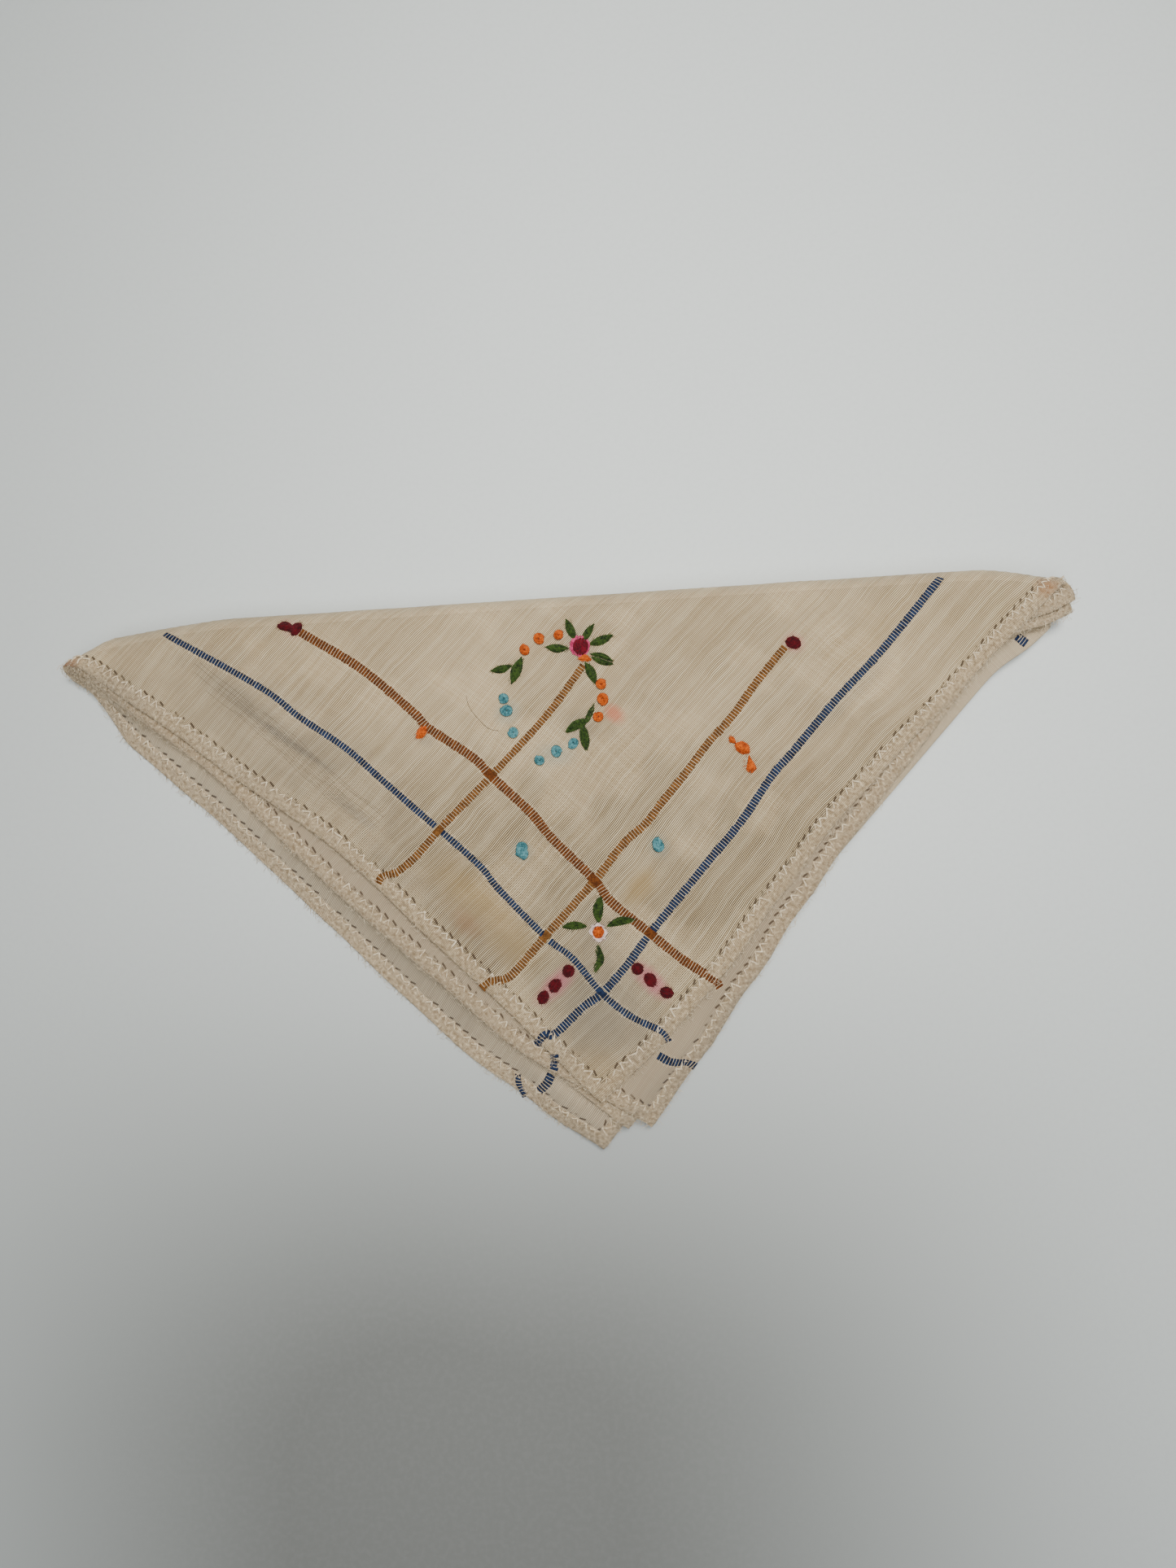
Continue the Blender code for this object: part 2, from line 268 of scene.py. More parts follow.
# Places were measured in the photograph, in millimetres along and down from the middle of
# the long fold, and each is carried to the cloth along the camera's line of sight
VIEW_TURN = math.radians(3.8)
VIEW_ELEVATION = math.radians(84.5)
VIEW_DISTANCE = 0.2357
VIEW_ALONG = 0.0015
VIEW_DOWN = 0.0334
FOLD_MIDDLE = np.array((-0.00364, 0.03288))
PLACE_SCALE = 0.9884
target = Vector((VIEW_ALONG, -VIEW_DOWN, 0.004)) + Vector(origin_shift)
up = Vector((math.sin(VIEW_TURN), math.cos(VIEW_TURN), 0.0))
sight = up * math.cos(VIEW_ELEVATION) - Vector((0.0, 0.0, math.sin(VIEW_ELEVATION)))
right = sight.cross(up).normalized()
eye = target - sight * VIEW_DISTANCE
seen_cloth = BVHTree.FromPolygons([corner.co for corner in cloth.data.vertices],
                                  [face.vertices for face in cloth.data.polygons])


def laid(places, lift=0.0):
    """Points on what the camera sees at places in millimetres along and down, and the way out."""
    points = []
    outwards = []
    turned = np.array(((math.cos(VIEW_TURN), math.sin(VIEW_TURN)),
                       (math.sin(VIEW_TURN), -math.cos(VIEW_TURN))))
    for place in np.asarray(places, float) / 1000 * PLACE_SCALE:
        across, above = FOLD_MIDDLE + turned @ place
        through = target + right * across + right.cross(sight) * above
        hit, normal, _, _ = seen_cloth.ray_cast(eye, through - eye)
        if hit is None:
            hit = eye + (through - eye) * (eye.z / (eye.z - through.z))
            normal = Vector((0.0, 0.0, 1.0))
        normal = normal if normal.dot(eye - hit) > 0 else -normal
        points.append(hit + normal * lift)
        outwards.append(normal)
    return np.array(points), np.array(outwards)


def node(tree, kind, inputs=(), **settings):
    """A node of this kind, with its settings and its inputs filled or linked by place."""
    made = tree.nodes.new(kind)
    for key, value in settings.items():
        setattr(made, key, value)
    for place, value in dict(inputs).items():
        if isinstance(value, bpy.types.NodeSocket):
            tree.links.new(value, made.inputs[place])
        elif value is not None:
            made.inputs[place].default_value = value
    return made


def calc(tree, operation, *values, clamp=False):
    """The result of a Math node."""
    made = node(tree, "ShaderNodeMath", enumerate(values), operation=operation, use_clamp=clamp)
    return made.outputs[0]


def product(tree, first, *others):
    """Two or more values multiplied."""
    for value in others:
        first = calc(tree, "MULTIPLY", first, value)
    return first


def inverse(tree, value):
    """What a value leaves of one."""
    return calc(tree, "SUBTRACT", 1.0, value)


def blend_colour(tree, share, first, second):
    """Two colours mixed by a share."""
    return node(tree, "ShaderNodeMix", {0: share, 6: first, 7: second}, data_type="RGBA").outputs[2]


def spread(tree, value, low, high, low_to=0.0, high_to=1.0):
    """A value brought from one range to another, and kept inside it."""
    ranges = {0: value, 1: low, 2: high, 3: low_to, 4: high_to}
    return node(tree, "ShaderNodeMapRange", ranges, interpolation_type="SMOOTHSTEP").outputs[0]


def new_group(name, inputs, outputs):
    """An empty shader group; inputs and outputs are rows of name, kind and default."""
    group = bpy.data.node_groups.new(name, "ShaderNodeTree")
    for label, kind, value in inputs:
        socket = group.interface.new_socket(name=label, in_out="INPUT", socket_type=kind)
        if value is not None:
            socket.default_value = value
    for label, kind in outputs:
        group.interface.new_socket(name=label, in_out="OUTPUT", socket_type=kind)
    return group, group.nodes.new("NodeGroupInput").outputs, group.nodes.new("NodeGroupOutput").inputs


def thread_set(group, across, along, pitch, seed):
    """One set of parallel threads: their round shape, and each one's own brightness."""
    place = calc(group, "DIVIDE", across, pitch)
    number = calc(group, "FLOOR", place)
    within = calc(group, "SUBTRACT", calc(group, "FRACT", place), 0.5)
    seeded = calc(group, "ADD", number, seed)
    own = node(group, "ShaderNodeTexWhiteNoise", {"W": seeded}, noise_dimensions="1D")
    slub_at = node(group, "ShaderNodeCombineXYZ",
                   {0: product(group, number, 37.0), 1: along, 2: seed})
    slub = node(group, "ShaderNodeTexNoise", {"Vector": slub_at.outputs[0], "Scale": 0.11, "Detail": 2.0})
    tone = calc(group, "ADD", product(group, own.outputs[0], 0.35), slub.outputs[0])
    width = calc(group, "MULTIPLY_ADD", tone, 0.16, 0.20)
    share = calc(group, "DIVIDE", calc(group, "ABSOLUTE", within), width)
    roundness = calc(group, "SUBTRACT", 1.0, calc(group, "POWER", share, 2.0), clamp=True)
    return roundness, tone, number


weave, given, put = new_group(
    "fine plain weave",
    [("Flat", "NodeSocketVector", None), ("Pitch", "NodeSocketFloat", 0.31),
     ("Wander", "NodeSocketFloat", 2.2)],
    [("Tone", "NodeSocketFloat"), ("Gap", "NodeSocketFloat"), ("Height", "NodeSocketFloat")])
wander = node(weave, "ShaderNodeTexNoise", {"Vector": given["Flat"], "Scale": 0.07, "Detail": 3.0})
moved = node(weave, "ShaderNodeVectorMath", {0: wander.outputs["Color"], 1: (0.5, 0.5, 0.5)},
             operation="SUBTRACT")
moved = node(weave, "ShaderNodeVectorMath", {0: moved.outputs[0], 3: given["Wander"]}, operation="SCALE")
placed = node(weave, "ShaderNodeVectorMath", {0: given["Flat"], 1: moved.outputs[0]}, operation="ADD")
parts = node(weave, "ShaderNodeSeparateXYZ", {0: placed.outputs[0]}).outputs
warp, warp_tone, warp_number = thread_set(weave, parts[0], parts[1], given["Pitch"], 11.0)
weft, weft_tone, weft_number = thread_set(weave, parts[1], parts[0], given["Pitch"], 47.0)
over = calc(weave, "MODULO", calc(weave, "ABSOLUTE", calc(weave, "ADD", warp_number, weft_number)), 2.0)
patches = node(weave, "ShaderNodeTexNoise", {"Vector": given["Flat"], "Scale": 0.055, "Detail": 3.0})
crossed = spread(weave, patches.outputs[0], 0.42, 0.62)
warp_high = product(weave, warp, calc(weave, "MULTIPLY_ADD", over, 0.08, 0.92))
weft_share = calc(weave, "MULTIPLY_ADD", crossed, 0.46, 0.13)
weft_share = product(weave, weft_share, calc(weave, "MULTIPLY_ADD", over, -0.10, 1.05))
weft_high = product(weave, weft, weft_share)
height = calc(weave, "MAXIMUM", warp_high, weft_high)
warp_wins = calc(weave, "GREATER_THAN", warp_high, weft_high)
tone = calc(weave, "ADD", product(weave, warp_tone, warp_wins),
            product(weave, weft_tone, inverse(weave, warp_wins)))
weave.links.new(tone, put["Tone"])
weave.links.new(height, put["Height"])
weave.links.new(spread(weave, height, 0.80, 0.10), put["Gap"])

spot, given, put = new_group(
    "soft spot",
    [("Flat", "NodeSocketVector", None), ("Centre", "NodeSocketVector", None),
     ("Reach", "NodeSocketVector", (5, 5, 5)), ("Turn", "NodeSocketFloat", 0.0),
     ("Ragged", "NodeSocketFloat", 0.4)],
    [("Mask", "NodeSocketFloat")])
away = node(spot, "ShaderNodeVectorMath", {0: given["Flat"], 1: given["Centre"]},
            operation="SUBTRACT").outputs[0]
away = node(spot, "ShaderNodeVectorRotate", {"Vector": away, "Angle": given["Turn"]}, rotation_type="Z_AXIS")
away = node(spot, "ShaderNodeVectorMath", {0: away.outputs[0], 1: given["Reach"]},
            operation="DIVIDE").outputs[0]
far = node(spot, "ShaderNodeVectorMath", {0: away}, operation="LENGTH").outputs["Value"]
rag = node(spot, "ShaderNodeTexNoise", {"Vector": given["Flat"], "Scale": 0.32, "Detail": 4.0,
                                        "Roughness": 0.65})
far = calc(spot, "ADD", far, product(spot, calc(spot, "SUBTRACT", rag.outputs[0], 0.5), given["Ragged"]))
spot.links.new(spread(spot, far, 1.0, 0.15), put["Mask"])


def flat_place(along, down):
    """The flat point of the top quarter at a place in millimetres along and down from the fold."""
    goal = (laid([(along, down)])[0][0] - origin_shift)[:2]
    u = v = HALF / 2
    for _ in range(25):
        miss = goal - (folded(u, v, CLOTH_THICKNESS / 2) - origin_shift)[..., :2]
        u = u + (miss[..., 0] - miss[..., 1]) / math.sqrt(2)
        v = v - (miss[..., 0] + miss[..., 1]) / math.sqrt(2)
    return np.array((u, v))


cloth_finish = bpy.data.materials.new("washed linen")
cloth_finish.use_nodes = True
tree = cloth_finish.node_tree
surface = tree.nodes["Principled BSDF"]
uv = node(tree, "ShaderNodeUVMap", uv_map="flat cloth").outputs[0]
flat = node(tree, "ShaderNodeVectorMath", {0: uv, 1: (-0.5, -0.5, 0.0)}, operation="ADD").outputs[0]
flat = node(tree, "ShaderNodeVectorMath", {0: flat, 3: CLOTH_SIDE * 1000}, operation="SCALE").outputs[0]
split = node(tree, "ShaderNodeSeparateXYZ", {0: flat}).outputs
threads = node(tree, "ShaderNodeGroup", {"Flat": flat}, node_tree=weave).outputs

# How far each point lies from the nearest hem, how far along that hem, and in which quarter
size_u = calc(tree, "ABSOLUTE", split[0])
size_v = calc(tree, "ABSOLUTE", split[1])
past = calc(tree, "ADD", size_u, size_v)
inset = calc(tree, "SUBTRACT", HALF * 1000, calc(tree, "MAXIMUM", size_u, size_v))
by_u = calc(tree, "GREATER_THAN", size_u, size_v)
hem_run = node(tree, "ShaderNodeMix", {0: by_u, 2: split[0], 3: split[1]}, data_type="FLOAT").outputs[0]
in_hem = spread(tree, inset, HEM_WIDTH * 1000 + 0.15, HEM_WIDTH * 1000 - 0.15)
right_half = calc(tree, "GREATER_THAN", split[0], 0.0)
top_quarter = product(tree, right_half, calc(tree, "GREATER_THAN", split[1], 0.0))
next_quarter = product(tree, right_half, calc(tree, "LESS_THAN", split[1], 0.0))

# Broad drifts of colour, dark gaps between the threads, painted shade on the layers below the top quarter,
# and felted hems
LINEN = (0.770, 0.560, 0.305, 1.0)
LINEN_DEEP = (0.660, 0.465, 0.240, 1.0)
LINEN_PALE = (0.950, 0.790, 0.510, 1.0)
GAP_COLOUR = (0.058, 0.050, 0.034, 1.0)
# Painted shade for the quarters under the top one, and a deeper painted shade for the next quarter, whose
# strip lies in the top hem's shadow
UNDER_SHADE = (0.47, 0.39, 0.285, 1.0)
NEXT_SHADE = (0.27, 0.20, 0.125, 1.0)
HEM_COLOUR = (0.540, 0.405, 0.245, 1.0)
HEM_DEEP = (0.23, 0.16, 0.085, 1.0)
drift = node(tree, "ShaderNodeTexNoise",
             {"Vector": flat, "Scale": 0.035, "Detail": 4.0, "Roughness": 0.55}).outputs[0]
felt = node(tree, "ShaderNodeTexNoise",
            {"Vector": flat, "Scale": 1.35, "Detail": 6.0, "Roughness": 0.68}).outputs[0]
open_cloth = product(tree, spread(tree, past, 160.0, 235.0, 0.76, 1.0),
                     spread(tree, drift, 0.30, 0.55, 0.85, 1.0))
colour = blend_colour(tree, spread(tree, drift, 0.40, 0.72), LINEN, LINEN_DEEP)
colour = blend_colour(tree, spread(tree, threads["Tone"], 0.35, 1.05, 0.12, 0.72), colour, LINEN_PALE)
for mask, strength, tint in (
        (threads["Gap"], open_cloth, GAP_COLOUR),
        # Painted shade on the quarters under the top one, deeper on the next quarter
        (inverse(tree, top_quarter), 0.52, UNDER_SHADE),
        (next_quarter, 0.45, NEXT_SHADE),
        (in_hem, 0.55, HEM_COLOUR),
        (in_hem, spread(tree, felt, 0.54, 0.36, 0.0, 0.80), HEM_DEEP),
        (in_hem, spread(tree, felt, 0.54, 0.68, 0.0, 0.70), LINEN_PALE)):
    colour = blend_colour(tree, product(tree, mask, strength), colour, tint)

# Yellowed, rusty and dyed places, and painted shade, in millimetres along and down as above
StainOrShade = namedtuple("StainOrShade", "along down long wide turn colour strength")
TEA, RUST, DYE = (0.40, 0.26, 0.10, 1), (0.33, 0.13, 0.04, 1), (0.60, 0.13, 0.20, 1)
# A grey and a bluish black used for painted shade
GREY_SHADE, BLUE_SHADE = (0.20, 0.18, 0.15, 1), (0.050, 0.060, 0.075, 1)
CORAL, SEA = (0.72, 0.14, 0.07, 1), (0.16, 0.30, 0.32, 1)
# The grey marks are painted shade: shadows round the needlework, and shade at the left tip, in a long streak
# on the right, on the lower part of the cloth and over its left and its bottom
STAINS_AND_SHADE = (
    StainOrShade(-22.0, 57.0, 17.0, 7.0, 0, TEA, 0.50), StainOrShade(-16.0, 66.0, 8.0, 5.0, 0, TEA, 0.40),
    StainOrShade(-25.0, 60.0, 5.0, 3.0, 0, RUST, 0.35), StainOrShade(10.5, 55.0, 6.5, 3.6, 90, TEA, 0.55),
    StainOrShade(-102.0, 2.6, 4.5, 4.0, 0, RUST, 0.80), StainOrShade(-92.0, 9.0, 12.0, 7.0, 0, GREY_SHADE, 0.22),
    StainOrShade(97.0, -0.6, 4.5, 3.0, 90, RUST, 0.60), StainOrShade(66.0, 34.4, 66.0, 4.0, 90, GREY_SHADE, 0.24),
    StainOrShade(60.0, 8.0, 18.0, 6.0, 90, TEA, 0.18),
    StainOrShade(7.8, 19.6, 3.4, 2.6, 0, CORAL, 0.55),
    # Teal halos round the turquoise knots: partly the yarn's fuzz, partly painted shade of the puckered linen
    # round them
    StainOrShade(-13.8, 18.0, 4.2, 3.4, 90, SEA, 0.28), StainOrShade(-4.8, 27.0, 6.0, 3.4, 40, SEA, 0.26),
    StainOrShade(-13.0, 46.0, 3.4, 3.0, 0, SEA, 0.25), StainOrShade(15.0, 47.0, 3.4, 3.0, 0, SEA, 0.25),
    # Grey painted shadows round the flower hearts and the leaves
    StainOrShade(1.7, 6.0, 6.8, 5.8, 0, GREY_SHADE, 0.32), StainOrShade(0.5, 22.0, 5.4, 5.4, 0, GREY_SHADE, 0.34),
    StainOrShade(1.5, 63.5, 7.5, 6.5, 0, GREY_SHADE, 0.24), StainOrShade(-12.5, 9.0, 5.0, 4.0, 0, GREY_SHADE, 0.16),
    StainOrShade(-56.5, -2.0, 4.0, 2.6, 0, DYE, 0.25), StainOrShade(44.9, 7.6, 3.2, 2.8, 0, DYE, 0.40),
    StainOrShade(-31.0, 22.0, 3.2, 2.6, 0, GREY_SHADE, 0.30), StainOrShade(-7.5, 73.5, 6.8, 2.9, 90, DYE, 0.72),
    # The bluish marks beside the blue stripes are painted shade of the stripes and layers beneath, seen
    # through the sheer linen
    StainOrShade(11.5, 74.0, 6.8, 2.9, 0, DYE, 0.72), StainOrShade(-65.0, 14.6, 23.0, 3.4, 0, BLUE_SHADE, 0.44),
    StainOrShade(-58.7, 20.7, 15.0, 1.3, 0, BLUE_SHADE, 0.85), StainOrShade(-46.0, 36.0, 9.0, 1.6, 0, BLUE_SHADE, 0.60),
    StainOrShade(56.5, 18.5, 18.0, 2.4, 90, BLUE_SHADE, 0.42),
    StainOrShade(0.0, 90.0, 6.0, 5.0, 0, TEA, 0.30), StainOrShade(-39.0, 48.0, 14.0, 3.5, 0, GREY_SHADE, 0.20),
    # Broad grey painted shade over the bottom and the left of the cloth
    StainOrShade(1.5, 80.0, 17.0, 17.0, 0, GREY_SHADE, 0.48), StainOrShade(-60.0, 22.0, 46.0, 16.0, 0, GREY_SHADE, 0.32),
    StainOrShade(-22.0, 62.0, 20.0, 6.0, 0, GREY_SHADE, 0.22),
)
for stain_or_shade in STAINS_AND_SHADE:
    centre = (*(flat_place(stain_or_shade.along, stain_or_shade.down) * 1000), 0.0)
    mask = node(tree, "ShaderNodeGroup",
                {"Flat": flat, "Centre": centre, "Reach": (stain_or_shade.long, stain_or_shade.wide, 1.0),
                 "Turn": math.radians(stain_or_shade.turn)}, node_tree=spot).outputs[0]
    share = product(tree, mask, top_quarter, stain_or_shade.strength)
    # The bluish painted shade shows only between the threads, as the layers beneath do
    if stain_or_shade.colour == BLUE_SHADE:
        share = product(tree, share, spread(tree, threads["Gap"], 0.0, 0.9, 0.25, 1.0))
    colour = blend_colour(tree, share, colour, stain_or_shade.colour)

# The blue stripe of the quarters underneath, seen where they show past the top one
STRIPE_PLACE = HALF * 1000 - 17.2
STRIPE_WIDTH = 1.5
STRIPE_COLOUR = (0.010, 0.020, 0.055, 1.0)
off_stripe = calc(tree, "MINIMUM", *(calc(tree, "ABSOLUTE", calc(tree, "SUBTRACT", size, STRIPE_PLACE))
                                     for size in (size_u, size_v)))
under_stripe = product(tree, spread(tree, off_stripe, STRIPE_WIDTH / 2 + 0.1, STRIPE_WIDTH / 2 - 0.1),
                       inverse(tree, top_quarter), calc(tree, "GREATER_THAN", inset, 12.0),
                       calc(tree, "GREATER_THAN", size_v, 6.0))
colour = blend_colour(tree, under_stripe, colour, STRIPE_COLOUR)

# The slits that the hem stitches pull open, slanted along the inner edge of the hem
SLIT_PLACE = HEM_WIDTH * 1000 + 0.45
SLIT_COLOUR = (0.070, 0.045, 0.028, 1.0)
turn = calc(tree, "FRACT", calc(tree, "DIVIDE", hem_run, HEM_STITCH_PITCH * 1000))
off_turn = calc(tree, "SUBTRACT", turn, 0.5)
slit_gap = calc(tree, "ADD", calc(tree, "SUBTRACT", inset, SLIT_PLACE), product(tree, off_turn, 0.60))
slit_seen = node(tree, "ShaderNodeTexNoise", {"Vector": flat, "Scale": 0.45, "Detail": 2.0}).outputs[0]
slit = product(tree, spread(tree, calc(tree, "ABSOLUTE", slit_gap), 0.26, 0.13),
               spread(tree, calc(tree, "ABSOLUTE", off_turn), 0.34, 0.26),
               spread(tree, slit_seen, 0.38, 0.52))
colour = blend_colour(tree, product(tree, slit, 0.9), colour, SLIT_COLOUR)
tree.links.new(colour, surface.inputs["Base Color"])

# The top quarter is sheer between its threads
past_diagonal = calc(tree, "GREATER_THAN", past, HALF * 1000 + 4)
sheer = product(tree, top_quarter, past_diagonal, inverse(tree, in_hem),
                calc(tree, "MULTIPLY_ADD", threads["Gap"], 0.25, 0.07))
tree.links.new(inverse(tree, sheer), surface.inputs["Alpha"])

relief = calc(tree, "ADD", threads["Height"], product(tree, slit, -2.0))
relief = calc(tree, "ADD", relief, product(tree, felt, in_hem, 8.0))
bump = node(tree, "ShaderNodeBump", {"Height": relief, "Strength": 0.6, "Distance": 0.00012})
tree.links.new(bump.outputs[0], surface.inputs["Normal"])
surface.inputs["Roughness"].default_value = 0.92
surface.inputs["Sheen Weight"].default_value = 0.15
surface.inputs["Specular IOR Level"].default_value = 0.25
cloth.data.materials.append(cloth_finish)

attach(cloth, "root")
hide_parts("handkerchief")

# The turned hem
# The linen's edge is rolled over all round and whipped down. The roll is soft and lumpy, and
# drawn in a little at every stitch.
HEM_STEP = 0.0005
HEM_ROUND = 12
HEM_ROLL = 0.00056
HEM_END = 0.0012


def uneven(reach, length, seed):
    """Smooth random numbers from -1 to 1 along a hem."""
    drawn = np.random.default_rng(seed).uniform(-1, 1, 1000)
    place = reach / length + 500
    step = place.astype(int)
    blend = smooth(place - step)
    return drawn[step] * (1 - blend) + drawn[step + 1] * blend


def hem_roll(along, seed):
    """The roll's outer edge and inner edge as insets, and half its thickness."""
    tight = 0.5 + 0.5 * np.cos(along * 2 * math.pi / HEM_STITCH_PITCH)
    outer = -0.00016 * uneven(along, 0.0031, seed) - 0.00010 * uneven(along, 0.0011, seed + 1)
    outer += 0.00008 * tight
    inner = HEM_WIDTH + 0.00020 - 0.00042 * tight + 0.00022 * uneven(along, 0.0023, seed + 2)
    thick = HEM_ROLL * (1 - 0.32 * tight + 0.20 * uneven(along, 0.0014, seed + 3))
    return outer, inner, thick


def hem_height(along, inset, seed):
    """How high the roll stands over the middle of the cloth at an inset."""
    outer, inner, thick = hem_roll(along, seed)
    off = np.clip((inset - (outer + inner) / 2) / ((inner - outer) / 2), -1.0, 1.0)
    return np.maximum(thick * (1 - off ** 2) ** 0.4, CLOTH_THICKNESS / 2)


HEM_SIDES = ((0, 1), (1, 0), (0, -1), (-1, 0))
hem_places, hem_faces, hem_u, hem_v = [], [], [], []
along = np.arange(-HALF, HALF + HEM_STEP / 2, HEM_STEP)
round_share = np.arange(HEM_ROUND) / HEM_ROUND * 2 * math.pi
for seed, (side_u, side_v) in enumerate(HEM_SIDES):
    outer, inner, thick = (each[:, None] for each in hem_roll(along, seed * 10))
    near_end = ((np.abs(along) - HALF + HEM_END) / HEM_END).clip(0, None)
    ends = np.sqrt(np.clip(1 - near_end ** 2, 0.02, 1.0))[:, None]
    inset = (outer + inner) / 2 + (inner - outer) / 2 * np.cos(round_share) * ends
    lift = thick * ends * np.sign(np.sin(round_share)) * np.abs(np.sin(round_share)) ** 0.8
    run = np.broadcast_to(along[:, None], inset.shape)
    u = side_u * (HALF - inset) + abs(side_v) * run
    v = side_v * (HALF - inset) + abs(side_u) * run
    index = np.arange(u.size).reshape(u.shape) + sum(len(each) for each in hem_places)
    beside = np.roll(index, -1, axis=1)
    faces = np.stack((index[:-1], index[1:], beside[1:], beside[:-1]), axis=-1).reshape(-1, 4)
    hem_places.append(folded(u.ravel(), v.ravel(), lift.ravel()))
    ring = hem_places[-1].reshape(u.shape + (3,))
    spread_out = np.cross(ring[1:, :] - ring[:-1, :], (np.roll(ring, -1, axis=1) - ring)[:-1])
    outwards = np.sum(spread_out * (ring[:-1] - ring[:-1].mean(axis=1, keepdims=True)))
    hem_faces.append(faces if outwards > 0 else faces[:, ::-1])
    hem_u.append(u.ravel())
    hem_v.append(v.ravel())
hem_mesh = bpy.data.meshes.new("turned_hem")
hem_mesh.from_pydata(np.concatenate(hem_places).tolist(), [], np.concatenate(hem_faces).tolist())
lay_flat_map(hem_mesh, np.concatenate(hem_u), np.concatenate(hem_v))
hem_mesh.materials.append(cloth_finish)
turned_hem = bpy.data.objects.new("turned_hem", hem_mesh)
bpy.context.collection.objects.link(turned_hem)
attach(turned_hem, "root")

# The stripes and the stitches lie over the roll as well as over the plain cloth
seen_places = [tuple(corner.co) for corner in cloth.data.vertices]
seen_faces = [tuple(face.vertices) for face in cloth.data.polygons]
seen_faces += [tuple(each + len(seen_places) for each in face.vertices) for face in hem_mesh.polygons]
seen_places += [tuple(corner.co) for corner in hem_mesh.vertices]
seen_cloth = BVHTree.FromPolygons(seen_places, seen_faces)

# The woven stripes
# Blue and brown cotton let into the linen: small bundles of coloured threads lie along the
# stripe, held down by a pale thread between one bundle and the next.
def unit(vectors):
    """The same directions, each one long."""
    return vectors / np.linalg.norm(vectors, axis=1)[:, None]


def rounded_route(stops, step):
    """Evenly spaced places along a smooth line through the stops."""
    stops = np.array(stops, float)
    ends = np.concatenate((2 * stops[:1] - stops[1:2], stops, 2 * stops[-1:] - stops[-2:-1]))
    share = np.linspace(0.0, 1.0, 24, endpoint=False)[:, None]
    runs = []
    for a, b, c, d in zip(ends, ends[1:], ends[2:], ends[3:]):
        runs.append(0.5 * (2 * b + (c - a) * share + (2 * a - 5 * b + 4 * c - d) * share ** 2
                           + (3 * b - a - 3 * c + d) * share ** 3))
    line = np.concatenate(runs + [stops[-1:]])
    reach = np.concatenate(([0.0], np.cumsum(np.hypot(*np.diff(line, axis=0).T))))
    wanted = np.arange(step / 2, reach[-1], step)
    return np.stack([np.interp(wanted, reach, line[:, axis]) for axis in (0, 1)], axis=1)


def point_mesh(name, points, **vectors):
    """A mesh of loose points that carries vectors or numbers for a Geometry Nodes tree."""
    mesh = bpy.data.meshes.new(name)
    mesh.from_pydata(np.asarray(points).tolist(), [], [])
    for label, values in vectors.items():
        values = np.asarray(values, dtype=np.float32)
        kind, key = ("FLOAT_VECTOR", "vector") if values.ndim == 2 else ("FLOAT", "value")
        mesh.attributes.new(label, kind, "POINT").data.foreach_set(key, values.ravel())
    return mesh


def grown(name, base, tree, **values):
    """A plain mesh grown from points or lines by a Geometry Nodes tree with these inputs."""
    shape = bpy.data.objects.new(name, base)
    bpy.context.collection.objects.link(shape)
    changer = shape.modifiers.new(name, "NODES")
    changer.node_group = tree
    for socket in tree.interface.items_tree:
        if socket.in_out == "INPUT" and socket.name in values:
            changer[socket.identifier] = values[socket.name]
    bpy.context.view_layer.update()
    ready = bpy.context.evaluated_depsgraph_get()
    plain = bpy.data.meshes.new_from_object(shape.evaluated_get(ready), depsgraph=ready)
    shape.modifiers.clear()
    places = np.empty(len(plain.vertices) * 3, dtype=np.float32)
    plain.vertices.foreach_get("co", places)
    places[2::3] = np.maximum(places[2::3], TABLE_GAP)
    plain.vertices.foreach_set("co", places)
    shape.data = plain
    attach(shape, "root")
    return shape


def growing_tree(name, *inputs):
    """An empty Geometry Nodes tree that takes geometry, a material and these inputs."""
    tree = bpy.data.node_groups.new(name, "GeometryNodeTree")
    rows = (("Geometry", "Geometry", None), ("Finish", "Material", None)) + inputs
    for label, kind, value in rows:
        socket = tree.interface.new_socket(name=label, in_out="INPUT", socket_type="NodeSocket" + kind)
        if value is not None:
            socket.default_value = value
    tree.interface.new_socket(name="Geometry", in_out="OUTPUT", socket_type="NodeSocketGeometry")
    return tree, tree.nodes.new("NodeGroupInput").outputs


def end_tree(tree, given, shape):
    """Closes a growing tree, and returns it: plain geometry, smooth, in its own material."""
    real = node(tree, "GeometryNodeRealizeInstances", {0: shape}).outputs[0]
    round_look = node(tree, "GeometryNodeSetShadeSmooth", {0: real}).outputs[0]
    dressed = node(tree, "GeometryNodeSetMaterial", {0: round_look, 2: given["Finish"]}).outputs[0]
    tree.links.new(dressed, tree.nodes.new("NodeGroupOutput").inputs[0])
    return tree


def set_down(tree, given, shape, scatter, seed):
    """The shape on every point, turned by the point's own vectors and a little uneven in size."""
    out = node(tree, "GeometryNodeInputNamedAttribute", {0: "out"}, data_type="FLOAT_VECTOR").outputs[0]
    run = node(tree, "GeometryNodeInputNamedAttribute", {0: "run"}, data_type="FLOAT_VECTOR").outputs[0]
    turned = node(tree, "FunctionNodeAxesToRotation", {0: out, 1: run}, primary_axis="Z", secondary_axis="X")
    uneven = node(tree, "FunctionNodeRandomValue",
                  {0: tuple(1 - each for each in scatter), 1: tuple(1 + each for each in scatter), 8: seed},
                  data_type="FLOAT_VECTOR")
    return node(tree, "GeometryNodeInstanceOnPoints",
                {0: given["Geometry"], 2: shape, 5: turned.outputs[0], 6: uneven.outputs[0]}).outputs[0]


